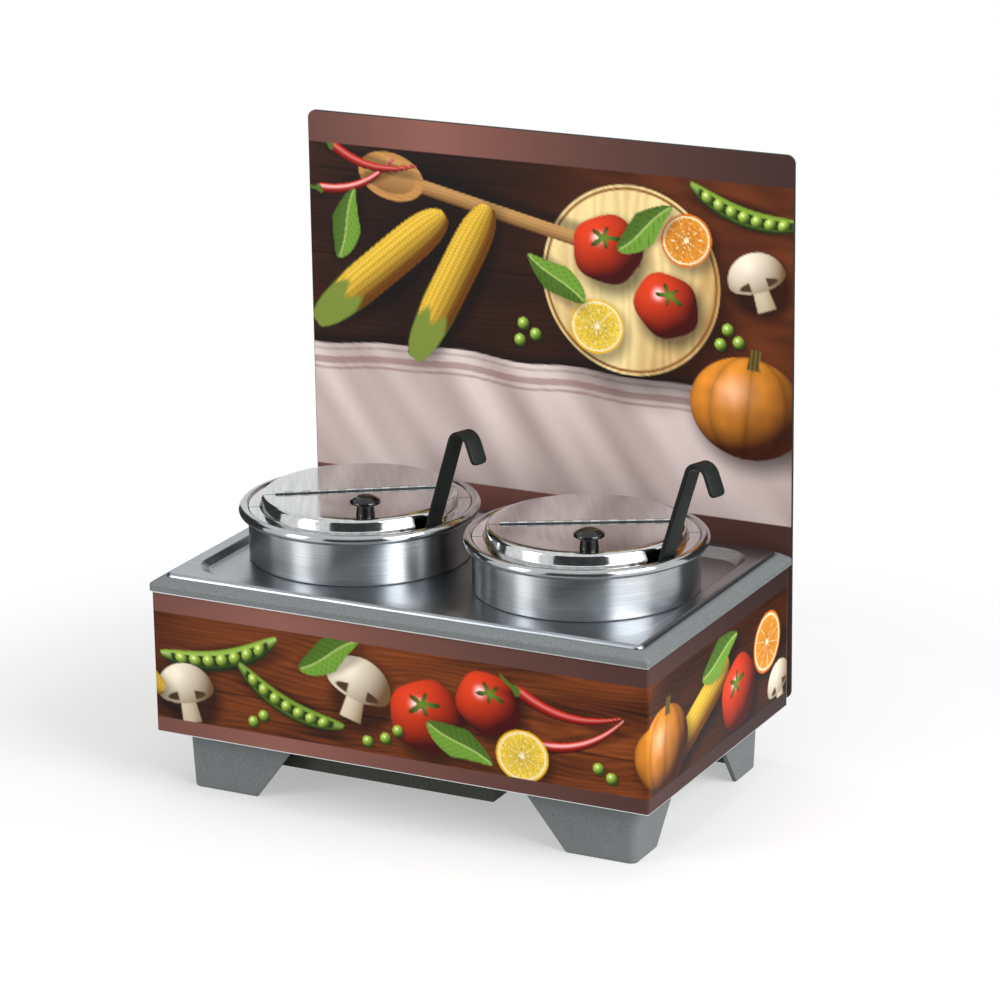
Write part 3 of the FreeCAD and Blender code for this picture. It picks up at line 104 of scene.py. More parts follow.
def piece(name, points, faces, wall=0.0, sharp=32.0, merge=True):
    """Object from points in millimetres and quads. A wall makes the skin a sheet, thickened inwards."""
    mesh = bpy.data.meshes.new(name)
    mesh.from_pydata((points.reshape(-1, 3) * MM).tolist(), [], faces.reshape(-1, 4).tolist())
    if merge:
        work = bmesh.new()
        work.from_mesh(mesh)
        bmesh.ops.remove_doubles(work, verts=work.verts, dist=1e-6)
        bmesh.ops.dissolve_degenerate(work, edges=work.edges, dist=1e-7)
        if not wall:
            bmesh.ops.recalc_face_normals(work, faces=work.faces)
        work.to_mesh(mesh)
        work.free()
    obj = bpy.data.objects.new(name, mesh)
    bpy.context.scene.collection.objects.link(obj)
    if wall:
        sheet = obj.modifiers.new("sheet", "SOLIDIFY")
        sheet.thickness = wall * MM
        sheet.offset = -1.0
        bpy.context.view_layer.update()
        obj.data = bpy.data.meshes.new_from_object(obj.evaluated_get(bpy.context.evaluated_depsgraph_get()))
        obj.modifiers.clear()
    obj.data.polygons.foreach_set("use_smooth", np.ones(len(obj.data.polygons), dtype=bool))
    obj.data.set_sharp_from_angle(angle=math.radians(sharp))
    return obj


def finish_piece(obj, body, stands_for, material):
    """Puts a piece on its body in place of a solid, with its finish."""
    obj.data.materials.clear()
    obj.data.materials.append(material)
    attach(obj, body)
    if stands_for:
        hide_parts(stands_for)


def rounded_line(corners, radii, steps=10):
    """Line through (r, z) corners, each inner corner an arc of its radius sampled in equal turns."""
    corners = np.array(corners, dtype=float)
    parts = [corners[:1]]
    for before, corner, after, radius in zip(corners, corners[1:], corners[2:], radii):
        back = (before - corner) / np.linalg.norm(before - corner)
        ahead = (after - corner) / np.linalg.norm(after - corner)
        half = math.acos(float(np.clip(back @ ahead, -1, 1))) / 2
        inward = (back + ahead) / np.linalg.norm(back + ahead)
        centre = corner + inward * radius / math.sin(half)
        first = corner + back * radius / math.tan(half) - centre
        last = corner + ahead * radius / math.tan(half) - centre
        share = np.linspace(0.0, 1.0, steps)[:, None]
        swing = math.pi - 2 * half
        arc = np.sin((1 - share) * swing) * first + np.sin(share * swing) * last
        parts.append(centre + arc / math.sin(swing))
    parts.append(corners[-1:])
    return np.concatenate(parts)


def offset_line(line, distance):
    """The line moved square to itself, to its right, by the distance."""
    way = np.gradient(line, axis=0)
    way /= np.linalg.norm(way, axis=1, keepdims=True)
    return line + distance * np.stack([way[:, 1], -way[:, 0]], axis=1)


def turned(profile, segments=192):
    """Points and quads of a closed (r, z) profile spun about Z: (r cos a, r sin a, z)."""
    angle = np.linspace(0.0, 2 * math.pi, segments, endpoint=False)
    r, z = profile[:, :1], profile[:, 1:]
    points = np.stack([r * np.cos(angle), r * np.sin(angle), z + 0 * angle], axis=-1)
    return points, grid_faces(len(profile), segments, True, True)


def stand(points, turn, x):
    """Points turned about Z by degrees, then moved along X."""
    c, s = math.cos(math.radians(turn)), math.sin(math.radians(turn))
    return points @ np.array([[c, s, 0.0], [-s, c, 0.0], [0.0, 0.0, 1.0]]) + np.array([x, 0.0, 0.0])


# Printed pictures: linear colours worked out over the film, u across and v up


def smooth(low, high, value):
    """Smooth step from 0 at low to 1 at high."""
    t = np.clip((value - low) / (high - low), 0.0, 1.0)
    return t * t * (3.0 - 2.0 * t)


def fade(low, high, value):
    """Smooth step from 1 at low to 0 at high."""
    return 1.0 - smooth(low, high, value)


def between(deep, light, tone):
    """Linear colours from deep, where the tone is 0, to light, where it is 1."""
    return linear(deep) + (linear(light) - linear(deep)) * tone[..., None]


def waves(u, v, size, seed):
    """Soft random field from about -1 to 1: sine waves of about that size in nine directions, added up."""
    draw = np.random.default_rng(seed)
    turn, phase = draw.uniform(0, np.pi, (9, 1, 1)), draw.uniform(0, 2 * np.pi, (9, 1, 1))
    number = 2 * np.pi * draw.uniform(0.6, 1.7, (9, 1, 1)) / size
    return np.sin((u * np.cos(turn) + v * np.sin(turn)) * number + phase).sum(axis=0) / 4.5


# Unit vectors towards the light of the pictures, and half way from it to the eye
LIGHT_WAY, SHINE_WAY = (-0.46, 0.56, 0.69), (-0.25, 0.32, 0.914)


class Print:
    """A picture over a flat film, in linear colour; sizes in millimetres."""

    def __init__(self, u, v):
        self.u, self.v = u, v
        self.rgb = np.zeros(u.shape + (3,))

    def lay(self, cover, colour):
        """Colour over the picture where cover is 1."""
        cover = np.clip(cover, 0.0, 1.0)[..., None]
        self.rgb = self.rgb * (1.0 - cover) + colour * cover

    def dim(self, cover, depth):
        """The picture darker by depth where cover is 1."""
        self.rgb = self.rgb * (1.0 - depth * np.clip(cover, 0.0, 1.0)[..., None])

    def place(self, at, size, turn):
        """A motif's own coordinates: from its centre, in half lengths, turned by degrees."""
        c, s = np.cos(np.radians(turn)), np.sin(np.radians(turn))
        du, dv = self.u - at[0], self.v - at[1]
        return (du * c + dv * s) / size[0], (dv * c - du * s) / size[1]

    def shadow(self, at, size, turn, depth=0.75):
        """Soft oval shadow, a little down and to the right of a motif."""
        x, y = self.place((at[0] + 0.16 * min(size), at[1] - 0.2 * min(size)), size, turn)
        self.dim(fade(0.75, 1.3, np.hypot(x, y)), depth)

    def lit(self, x, y, turn, deep, light, shine=0.0, tight=40.0):
        """Colour of a rounded form: lambert light from the upper left, deep to light, and a highlight."""
        c, s = np.cos(np.radians(turn)), np.sin(np.radians(turn))
        nx, ny = x * c - y * s, x * s + y * c
        nz = np.sqrt(np.clip(1.0 - nx * nx - ny * ny, 0.0, 1.0))
        glow = np.clip(LIGHT_WAY[0] * nx + LIGHT_WAY[1] * ny + LIGHT_WAY[2] * nz, 0.0, 1.0)
        spot = np.clip(SHINE_WAY[0] * nx + SHINE_WAY[1] * ny + SHINE_WAY[2] * nz, 0.0, 1.0) ** tight
        return between(deep, light, glow ** 1.3) + shine * spot[..., None]


def paint_planks(art, deep, light, grain, seed):
    """Wood: grain lines bent and spaced by soft waves, fine streaks, patches of tone and dark joints."""
    u, v = art.u, art.v
    bend = 9.0 * waves(u, v * 3.0, 420.0, seed)
    lines = 0.5 + 0.5 * np.sin((v + bend) * 2 * np.pi / grain + 6.0 * waves(u * 0.2, v, 48.0, seed + 1))
    streak = waves(u * 0.04, v, 5.0, seed + 3)
    patch = waves(u * 0.5, v * 2.0, 150.0, seed + 2)
    tone = np.clip(0.4 + 0.22 * lines + 0.12 * streak + 0.3 * patch, 0.0, 1.0)
    art.lay(np.ones_like(u), between(deep, light, tone))
    plank = 92.0
    art.dim(fade(0.4, 1.8, np.abs((v + 20.0) % plank - plank / 2)), 0.7)


def paint_tomato(art, at, size, turn):
    """Red ball with five soft lobes and a star of sepals."""
    art.shadow(at, (size, size), turn)
    x, y = art.place(at, (size, size * 0.92), turn)
    edge = 1.0 + 0.035 * np.cos(5 * np.arctan2(y, x) + 0.6)
    skin = art.lit(x / edge, y / edge, turn, "#3d0604", "#e0401c", 0.9, 90.0)
    art.lay(fade(0.965, 1.0, np.hypot(x, y) / edge), skin)
    x, y = x + 0.05, y - 0.33
    reach = np.hypot(x, y * 1.5)
    star = 0.13 + 0.33 * np.abs(np.cos(2.5 * np.arctan2(y, x) + 0.4)) ** 3
    tone = 1.0 - np.clip(reach / 0.45, 0, 1)
    art.lay(fade(0.0, 0.05, reach - star), between("#24360f", "#6d8a2c", tone))


def paint_pumpkin(art, at, size, turn):
    """Wide orange form with ribs that gather at the top and bottom, and a stalk."""
    art.shadow(at, (size * 1.2, size), turn)
    x, y = art.place(at, (size * 1.2, size), turn)
    skin = art.lit(x, y, turn, "#3a1402", "#ec9430", 0.2, 25.0)
    across = np.clip(x / np.sqrt(np.clip(1.02 - y * y, 0.02, 1.0)), -1, 1)
    rib = np.abs(np.sin(np.arcsin(across) * 4.5))
    skin = skin * (0.5 + 0.5 * rib ** 0.45)[..., None] * (1.0 + 0.1 * waves(art.u, art.v, 26.0, 5))[..., None]
    art.lay(fade(0.975, 1.0, np.hypot(x, y)), skin)
    x, y = x - 0.02, y - 0.9
    stalk = np.abs(x - 0.35 * y * y) - 0.085 - 0.04 * np.clip(-y * 4, 0, 1)
    cover = fade(0.0, 0.02, stalk) * smooth(-0.16, -0.12, y) * fade(0.26, 0.28, y)
    art.lay(cover, linear("#6b5a2a") * (0.7 + 0.4 * np.sin(x * 90.0))[..., None])


def paint_citrus(art, at, size, turn, rind, flesh):
    """Round slice: rind, pale pith and ten streaked wedges."""
    art.shadow(at, (size, size), turn, 0.6)
    x, y = art.place(at, (size, size * 0.94), turn)
    radius, angle = np.hypot(x, y), np.arctan2(y, x)
    art.lay(fade(0.97, 1.0, radius), linear(rind))
    art.lay(fade(0.89, 0.92, radius), linear("#f4e6b8"))
    streak = 0.82 + 0.18 * np.sin(angle * 74.0 + 5.0 * waves(art.u, art.v, 9.0, 3))
    wedge = smooth(0.02, 0.06, np.abs(np.sin(5.0 * angle)) * radius)
    cover = wedge * fade(0.82, 0.85, radius) * smooth(0.08, 0.12, radius)
    art.lay(cover, linear(flesh) * (streak * (0.75 + 0.35 * radius))[..., None])


def paint_mushroom(art, at, size, turn):
    """Halved mushroom: stem, round cap and dark gills."""
    art.shadow(at, (size, size), turn)
    x, y = art.place(at, (size, size), turn)
    stem = np.abs(x) - 0.24 - 0.1 * np.clip(-y - 0.3, 0, 1)
    cover = fade(0.0, 0.04, stem) * smooth(-0.98, -0.93, y) * fade(0.2, 0.3, y)
    art.lay(cover, art.lit(x * 2.2, y * 0.3, turn, "#8a7455", "#f2e4c8"))
    cap = np.hypot(x, (y - 0.05) / np.where(y > 0.05, 0.85, 0.42))
    art.lay(fade(0.96, 1.0, cap), art.lit(x, (y - 0.1) * 0.9, turn, "#6d5233", "#f5e8cf", 0.1))
    gill = fade(0.85, 1.0, np.hypot(x / 0.72, (y + 0.12) / 0.17))
    art.lay(gill * smooth(0.26, 0.32, np.abs(x)), linear("#4a3220"))


def paint_pod(art, at, size, turn):
    """Bent green pod, open along a row of peas."""
    art.shadow(at, (size, size * 0.2), turn, 0.6)
    x, y = art.place(at, (size, size), turn)
    y = y - 0.22 * (x * x - 0.3)
    across = y / (0.155 * np.sqrt(np.clip(1.0 - np.abs(x) ** 2.6, 0.0, 1.0)) + 1e-3)
    inside = fade(0.95, 0.98, np.abs(x))
    skin = art.lit(0 * x, np.clip(across, -1, 1), turn, "#14260a", "#8fb23c", 0.2, 20.0)
    art.lay(fade(0.9, 1.05, np.abs(across)) * inside, skin)
    art.lay(fade(0.45, 0.6, np.abs(across)) * fade(0.78, 0.84, np.abs(x)), linear("#1c300c"))
    step = ((x * 4.6 + 0.5) % 1.0 - 0.5) / 0.46
    pea = art.lit(step, y / 0.1, turn, "#2c4a10", "#b5d04e", 0.5, 40.0)
    art.lay(fade(0.9, 1.0, np.hypot(step, y / 0.1)) * fade(0.76, 0.78, np.abs(x)), pea)


def paint_corn(art, at, size, turn):
    """Tapered cob with kernels in staggered rows, and husk leaves at its foot."""
    art.shadow(at, (size, size * 0.3), turn)
    x, y = art.place(at, (size, size), turn)
    for bend, tone in ((0.9, "#5f7a26"), (-0.8, "#486420"), (0.1, "#87993e")):
        middle = y - bend * 0.22 * (x + 0.9) * np.abs(x + 0.9)
        width = 0.2 * np.sqrt(np.clip(1.0 - ((x + 0.62) / 0.55) ** 2, 0, 1)) + 1e-3
        inside = smooth(-1.14, -1.12, x) * fade(-0.12, -0.1, x)
        leaf = linear(tone) * (0.8 + 0.25 * np.sin(middle * 190.0))[..., None]
        art.lay(fade(0.9, 1.05, np.abs(middle / width)) * inside, leaf)
    width = 0.23 * np.sqrt(np.clip(1.0 - np.clip((x - 0.05) / 0.95, -1, 1) ** 4, 0.0, 1.0)) + 1e-3
    across = np.clip(y / width, -1.0, 1.0)
    row = np.arcsin(across) / np.pi * 10.0
    column = x * 23.0 + 0.5 * (np.floor(row) % 2)
    kernel = np.sqrt(np.abs(np.sin(row * np.pi)) * (0.25 + 0.75 * np.abs(np.sin(column * np.pi))))
    gold = art.lit(0 * x, across, turn, "#6b3d06", "#f5c843") * (0.45 + 0.65 * kernel)[..., None]
    inside = smooth(-0.62, -0.5, x + 0.08 * np.cos(across * 6)) * fade(0.97, 0.99, x)
    art.lay(fade(0.97, 1.0, np.abs(y / width)) * inside, gold)


def paint_chilli(art, at, size, turn):
    """Bent tapered red pod with a green cap and stalk."""
    art.shadow(at, (size, size * 0.12), turn, 0.5)
    x, y = art.place(at, (size, size), turn)
    y = y - 0.3 * (x * x - 0.3)
    taper = np.sqrt(np.clip((1.0 - x) / 1.75, 0.0, 1.0)) * np.sqrt(np.clip((x + 0.8) / 0.15, 0.0, 1.0))
    across = y / (0.105 * taper + 1e-3)
    skin = art.lit(0 * x, np.clip(across * 0.95, -1, 1), turn, "#3a0403", "#d8260f", 0.7, 30.0)
    inside = smooth(-0.8, -0.78, x) * fade(0.94, 0.97, x)
    art.lay(fade(0.9, 1.05, np.abs(across)) * inside, skin)
    stalk = np.abs(y + 0.02) - 0.022 - 0.06 * np.clip(1.0 - np.abs(x + 0.74) / 0.08, 0, 1)
    inside = smooth(-1.06, -1.02, x) * fade(-0.7, -0.66, x)
    art.lay(fade(0.0, 0.02, stalk) * inside, linear("#4f6a22"))


def paint_leaf(art, at, size, turn):
    """Pointed leaf with a pale midrib, slanting veins and one half in shade."""
    art.shadow(at, (size, size * 0.4), turn, 0.5)
    x, y = art.place(at, (size, size), turn)
    y = y - 0.1 * np.sin(x * 2.2)
    across = y / (0.46 * np.clip(1.0 - np.abs(x), 0.0, 1.0) ** 0.62 * (1.0 - 0.25 * x) + 1e-3)
    vein = np.abs(np.sin((x + np.abs(y) * 0.9) * 17.0))
    tone = (0.55 + 0.45 * smooth(0.0, 0.35, vein) - 0.2 * np.abs(across)) * (0.8 - 0.35 * np.sign(y))
    green = between("#173008", "#6f9a36", np.clip(tone, 0, 1))
    inside = fade(0.97, 0.99, np.abs(x))
    art.lay(fade(0.93, 1.0, np.abs(across)) * inside, green)
    art.lay(fade(0.012, 0.03, np.abs(y)) * fade(0.9, 0.96, np.abs(x)), linear("#a9bd6a"))


def paint_spoon(art, at, size, turn):
    """Wooden spoon: round handle and an oval bowl with a hollow."""
    x, y = art.place(at, (size, size), turn)
    art.dim(fade(0.03, 0.09, np.abs(y + 0.05)) * fade(0.9, 1.0, np.abs(x)), 0.6)
    grain = 0.9 + 0.12 * np.sin(y * 260.0 + 3.0 * waves(art.u, art.v, 80.0, 8))
    wood = art.lit(0 * x, np.clip(y / 0.05, -1, 1) * 0.8, turn, "#5a3212", "#dba766") * grain[..., None]
    art.lay(fade(0.042, 0.05, np.abs(y)) * smooth(-1.0, -0.98, x) * fade(0.62, 0.64, x), wood)
    bowl = np.hypot((x - 0.78) / 0.24, y / 0.155)
    art.lay(fade(0.95, 1.0, bowl), linear("#c68f50") * (0.92 + 0.1 * np.sin(y * 200.0))[..., None])
    tone = np.clip(0.5 - 2.8 * y, 0, 1)
    hollow = np.hypot((x - 0.79) / 0.19, y / 0.112)
    art.lay(fade(0.93, 1.0, hollow), between("#6d3f1a", "#d9a565", tone))


def paint_round_board(art, at, size):
    """Round maple board seen from above: long grain, a lit side and a groove near the edge."""
    art.shadow(at, (size, size), 0.0)
    x, y = art.place(at, (size, size), 0.0)
    radius = np.hypot(x, y)
    bend = x + 0.05 * waves(art.u, art.v, 160.0, 21)
    grain = np.sin(bend * 46.0 + 3.0 * waves(art.u, art.v * 0.2, 40.0, 22))
    patch = waves(art.u, art.v * 0.3, 120.0, 23)
    tone = np.clip(0.72 + 0.1 * grain + 0.22 * patch - 0.25 * x + 0.12 * y, 0, 1)
    art.lay(fade(0.985, 1.0, radius), between("#a5712f", "#f7dfa0", tone))
    art.lay(smooth(0.93, 0.945, radius) * fade(0.96, 0.975, radius), linear("#8a5a26"))


def paint_peas(art, places, size):
    """Loose round peas."""
    for at in places:
        art.shadow(at, (size, size), 0.0, 0.5)
        x, y = art.place(at, (size, size), 0.0)
        art.lay(fade(0.9, 1.0, np.hypot(x, y)), art.lit(x, y, 0.0, "#26400e", "#a9cc48", 0.6, 50.0))


def paint_cloth(art, high):
    """Linen cloth up to a wavy hem: long slanting folds from waves, a stitched line and a shadow above it."""
    u, v = art.u, art.v
    away = v - high - 7.0 * waves(u, 0 * v, 190.0, 51)
    art.dim(fade(0.0, 16.0, away) * smooth(-1.0, 0.0, away), 0.75)
    fold = waves(u + 0.5 * v, 0.2 * v, 150.0, 52) + 0.5 * waves(u + 0.8 * v, 0.2 * v, 55.0, 53)
    art.lay(fade(-0.8, 0.8, away), between("#836d69", "#dfcdc8", np.clip(0.66 + 0.34 * fold, 0.0, 1.0)))
    art.dim(fade(0.7, 1.9, np.abs(away + 6.0)), 0.3)
    art.lay(0.55 * fade(3.0, 4.2, np.abs(away + 18.0)), linear("#7c4f47"))
    art.lay(0.5 * fade(0.8, 2.0, np.abs(away + 27.0)), linear("#7c4f47"))


def paint_band(art, low, high, reach):
    """Brown band from low to high, lightest left of the middle: its light falls off as exp(-away / reach)."""
    lightest, blur, soft = -130.0, 20.0, 0.5
    share = np.exp((blur - np.hypot(art.u - lightest, blur)) / reach)
    cover = smooth(low - soft, low + soft, art.v) * fade(high - soft, high + soft, art.v)
    art.lay(cover, between("#241b1b", "#88594f", share))


def board_picture(u, v):
    """Still life of the back board, between two brown bands."""
    art = Print(u, v)
    paint_planks(art, "#140b08", "#4a2413", 7.0, 11)
    warm = linear("#6e3416") * (0.8 + 0.25 * waves(u * 0.2, v, 22.0, 31))[..., None]
    art.lay(0.75 * smooth(-60.0, 240.0, u + 0.5 * (v - 430)), warm)
    art.dim(fade(30.0, 300.0, np.hypot(u + 120, (v - 560) * 0.8)), 0.7)
    paint_cloth(art, 392.0)
    paint_round_board(art, (96.0, 492.0), 100.0)
    paint_spoon(art, (-52.0, 548.0), 165.0, 168.0)
    paint_corn(art, (-188.0, 480.0), 96.0, 40.0)
    paint_corn(art, (-106.0, 474.0), 92.0, 62.0)
    paint_tomato(art, (70.0, 522.0), 40.0, 10.0)
    paint_tomato(art, (136.0, 470.0), 37.0, -25.0)
    paint_citrus(art, (58.0, 440.0), 31.0, 12.0, "#e8b21c", "#f7d24a")
    paint_citrus(art, (158.0, 540.0), 29.0, 40.0, "#d8701a", "#f09a33")
    paint_leaf(art, (112.0, 548.0), 40.0, 35.0)
    paint_leaf(art, (12.0, 486.0), 40.0, 140.0)
    paint_mushroom(art, (236.0, 506.0), 33.0, 20.0)
    paint_pod(art, (222.0, 574.0), 66.0, -14.0)
    paint_chilli(art, (-222.0, 566.0), 58.0, 20.0)
    paint_chilli(art, (-206.0, 590.0), 60.0, -12.0)
    paint_peas(art, [(204, 452), (216, 440), (196, 436), (-12, 424), (-26, 434), (-30, 416)], 7.0)
    paint_pumpkin(art, (226.0, 372.0), 54.0, -6.0)
    paint_leaf(art, (-232.0, 520.0), 40.0, 70.0)
    paint_band(art, BOARD_PICTURE[1], BOARD_HIGH + PAST, 185.0)
    paint_band(art, BOARD_LOW - PAST, BOARD_PICTURE[0], 260.0)
    return art.rgb


def wrap_picture(u, v):
    """Still life of the wrap, unrolled: left side, front and right side, between two brown bands."""
    art = Print(u, v)
    paint_planks(art, "#2c1209", "#8f471d", 6.0, 41)
    art.dim(smooth(-120.0, -330.0, u), 0.75)
    art.dim(smooth(230.0, 330.0, u), 0.75)
    paint_pod(art, (-196.0, 156.0), 72.0, 14.0)
    paint_pod(art, (-120.0, 118.0), 66.0, -22.0)
    paint_mushroom(art, (-238.0, 112.0), 34.0, 12.0)
    paint_mushroom(art, (-40.0, 146.0), 37.0, -16.0)
    paint_leaf(art, (-72.0, 176.0), 40.0, 25.0)
    paint_tomato(art, (36.0, 128.0), 42.0, 12.0)
    paint_tomato(art, (104.0, 152.0), 36.0, -18.0)
    paint_leaf(art, (72.0, 106.0), 40.0, -30.0)
    paint_chilli(art, (182.0, 158.0), 66.0, -10.0)
    paint_chilli(art, (196.0, 128.0), 62.0, 18.0)
    paint_citrus(art, (140.0, 104.0), 29.0, 8.0, "#e8b21c", "#f7d24a")
    paint_peas(art, [(-10, 98), (4, 108), (-30, 92), (236, 96), (222, 104), (-160, 92), (-148, 100)], 6.5)
    paint_corn(art, (388.0, 128.0), 82.0, 24.0)
    paint_pumpkin(art, (312.0, 120.0), 44.0, -6.0)
    paint_tomato(art, (486.0, 120.0), 42.0, 20.0)
    paint_leaf(art, (440.0, 172.0), 44.0, 10.0)
    paint_citrus(art, (556.0, 150.0), 34.0, 20.0, "#d8701a", "#f09a33")
    paint_mushroom(art, (586.0, 96.0), 28.0, 15.0)
    paint_pumpkin(art, (-420.0, 124.0), 48.0, 5.0)
    paint_corn(art, (-330.0, 140.0), 74.0, -24.0)
    paint_tomato(art, (-520.0, 126.0), 42.0, -10.0)
    paint_citrus(art, (-580.0, 150.0), 32.0, 20.0, "#e8b21c", "#f7d24a")
    paint_leaf(art, (-478.0, 172.0), 42.0, 160.0)
    paint_band(art, WRAP_PICTURE[1], WRAP_HIGH + PAST, 260.0)
    paint_band(art, WRAP_LOW - PAST, WRAP_PICTURE[0], 260.0)
    return art.rgb


# Materials


def add(tree, kind, values=None, links=None, **settings):
    """One shader node with its settings, socket values and links from other nodes' outputs."""
    node = tree.nodes.new(kind)
    for key, value in settings.items():
        setattr(node, key, value)
    for key, value in (values or {}).items():
        node.inputs[key].default_value = value
    for key, source in (links or {}).items():
        tree.links.new(source, node.inputs[key])
    return node


def finish_named(name, values):
    """Empty material with a Principled shader, its tree and that shader."""
    material = bpy.data.materials.new(name)
    material.use_nodes = True
    shader = material.node_tree.nodes["Principled BSDF"]
    for key, value in values.items():
        shader.inputs[key].default_value = value
    return material, material.node_tree, shader


def speckled(name, deep, light, size, values, bump, stretch=(1.0, 1.0, 1.0)):
    """Finish with grain of about a size in millimetres: colour from deep to light, and a fine bump."""
    material, tree, shader = finish_named(name, values)
    place = add(tree, "ShaderNodeTexCoord").outputs["Object"]
    place = add(tree, "ShaderNodeMapping", {"Scale": stretch}, {"Vector": place}).outputs["Vector"]
    grain = add(tree, "ShaderNodeTexNoise", {"Scale": 1.0 / (size * MM), "Detail": 3.0}, {"Vector": place})
    ramp = add(tree, "ShaderNodeValToRGB", None, {"Fac": grain.outputs["Fac"]})
    ramp.color_ramp.elements[0].position = 0.32
    ramp.color_ramp.elements[0].color = rgba(deep)
    ramp.color_ramp.elements[1].position = 0.68
    ramp.color_ramp.elements[1].color = rgba(light)
    tree.links.new(ramp.outputs["Color"], shader.inputs["Base Color"])
    height = {"Height": grain.outputs["Fac"]}
    lift = add(tree, "ShaderNodeBump", {"Strength": bump, "Distance": GRAIN_DEPTH}, height)
    tree.links.new(lift.outputs["Normal"], shader.inputs["Normal"])
    return material


def brushed(name, deep, light, low, high, streak, stretch, values, polish=None, turn=0.0):
    """Steel with fine lines: noise drawn out along the brushing sets colour, roughness and a slight bump.

    Polish is a height in millimetres and the roughness above it, where the wheel has taken the lines away.
    Turn is the brushing's bearing about Z in degrees."""
    material, tree, shader = finish_named(name, {"Metallic": 1.0, **values})
    spot = add(tree, "ShaderNodeTexCoord").outputs["Object"]
    if turn:
        angle = {"Angle": -math.radians(turn)}
        spun = add(tree, "ShaderNodeVectorRotate", angle, {"Vector": spot}, rotation_type="Z_AXIS")
        spot = spun.outputs["Vector"]
    place = add(tree, "ShaderNodeMapping", {"Scale": stretch}, {"Vector": spot}).outputs["Vector"]
    lines = add(tree, "ShaderNodeTexNoise", {"Scale": 1.0 / (streak * MM), "Detail": 4.0}, {"Vector": place})
    ramp = add(tree, "ShaderNodeValToRGB", None, {"Fac": lines.outputs["Fac"]})
    ramp.color_ramp.elements[0].position = 0.3
    ramp.color_ramp.elements[0].color = rgba(deep)
    ramp.color_ramp.elements[1].position = 0.7
    ramp.color_ramp.elements[1].color = rgba(light)
    tree.links.new(ramp.outputs["Color"], shader.inputs["Base Color"])
    rough = add(tree, "ShaderNodeMapRange", {"To Min": low, "To Max": high}, {"Value": lines.outputs["Fac"]})
    if polish:
        upward = add(tree, "ShaderNodeSeparateXYZ", None, {0: spot}).outputs["Z"]
        rough = add(
            tree, "ShaderNodeMapRange",
            {"From Min": (polish[0] - 1.0) * MM, "From Max": (polish[0] + 1.0) * MM, "To Max": polish[1]},
            {"Value": upward, "To Min": rough.outputs["Result"]},
        )
    tree.links.new(rough.outputs["Result"], shader.inputs["Roughness"])
    height = {"Height": lines.outputs["Fac"]}
    lift = add(tree, "ShaderNodeBump", {"Strength": 0.06, "Distance": LINE_DEPTH}, height)
    tree.links.new(lift.outputs["Normal"], shader.inputs["Normal"])
    return material


def printed_film(name):
    """Satin vinyl film: the printed colour from the mesh, under a clear face with a fine orange peel."""
    material, tree, shader = finish_named(name, {"Roughness": 0.45, "Specular IOR Level": 0.12})
    ink = add(tree, "ShaderNodeAttribute", attribute_name="print")
    tree.links.new(ink.outputs["Color"], shader.inputs["Base Color"])
    place = add(tree, "ShaderNodeTexCoord").outputs["Object"]
    peel = add(tree, "ShaderNodeTexNoise", {"Scale": 1.0 / (4.0 * MM)}, {"Vector": place})
    height = {"Height": peel.outputs["Fac"]}
    lift = add(tree, "ShaderNodeBump", {"Strength": 0.03, "Distance": GRAIN_DEPTH}, height)
    tree.links.new(lift.outputs["Normal"], shader.inputs["Normal"])
    return material


def painted_rib(name, base, face):
    """A finish with white paint on what stands further out along Y than the face, which is in metres."""
    material = base.copy()
    material.name = name
    tree = material.node_tree
    shader = tree.nodes["Principled BSDF"]
    skin = shader.inputs["Base Color"].links[0].from_socket
    place = add(tree, "ShaderNodeTexCoord").outputs["Object"]
    out = add(tree, "ShaderNodeSeparateXYZ", None, {0: place}).outputs["Y"]
    proud = add(tree, "ShaderNodeMapRange", {"From Min": face, "From Max": face + 0.1 * MM}, {"Value": out})
    paint = add(
        tree, "ShaderNodeMix", {7: rgba("#e9e9e4")}, {0: proud.outputs["Result"], 6: skin}, data_type="RGBA"
    )
    tree.links.new(paint.outputs[2], shader.inputs["Base Color"])
    return material


# Moulded polyester resin: matt grey with light and dark specks and a slight grain, coarse enough to show
resin = speckled("moulded_grey_resin", "#606465", "#717677", 1.8, {"Roughness": 0.55}, 0.2)
# Stainless sheet, rolled and brushed along its length, so that its lights are wide and soft
plate_steel = brushed("brushed_stainless_plate", "#90969b", "#a6acb1", 0.25, 0.35, 1.6, (0.04, 1.0, 1.0), {})
# Deep-drawn stainless: duller, with faint upright marks from the die
pan_steel = brushed("drawn_stainless_pan", "#909395", "#a4a7a9", 0.28, 0.42, 3.0, (1.0, 1.0, 0.1), {})
# Pot collar: spun, so its fine lines run round it, here 1.5 mm apart to show, and its lights stand up as bars
collar_steel = brushed(
    "spun_stainless_pot", "#a8abad", "#b9bcbe", 0.27, 0.36, 60.0, (1.0, 1.0, 40.0),
    {"Anisotropic": 0.9, "Anisotropic Rotation": 0.25}, (BEAD_Z - BEAD_R, 0.17),
)
# Lids are buffed almost to a mirror, square to the hinge, and the wheel leaves faint streaks
lid_steel = brushed(
    "buffed_stainless_lid", "#bcbebf", "#d3d4d5", 0.06, 0.15, 5.0, (1.0, 0.08, 1.0), {}, turn=30.0
)
# Ladle steel: tumbled bright, with no lines, so its lights are even and a little soft
ladle_steel = brushed("polished_stainless_ladle", "#acaeb0", "#bcbec0", 0.14, 0.24, 6.0, (1.0, 1.0, 1.0), {})
# Hinge barrels are rolled from bright strip, so each shows a white line above a dark one
hinge_steel = brushed("bright_stainless_hinge", "#c4c6c7", "#d6d8d9", 0.1, 0.18, 3.0, (1.0, 1.0, 1.0), {})
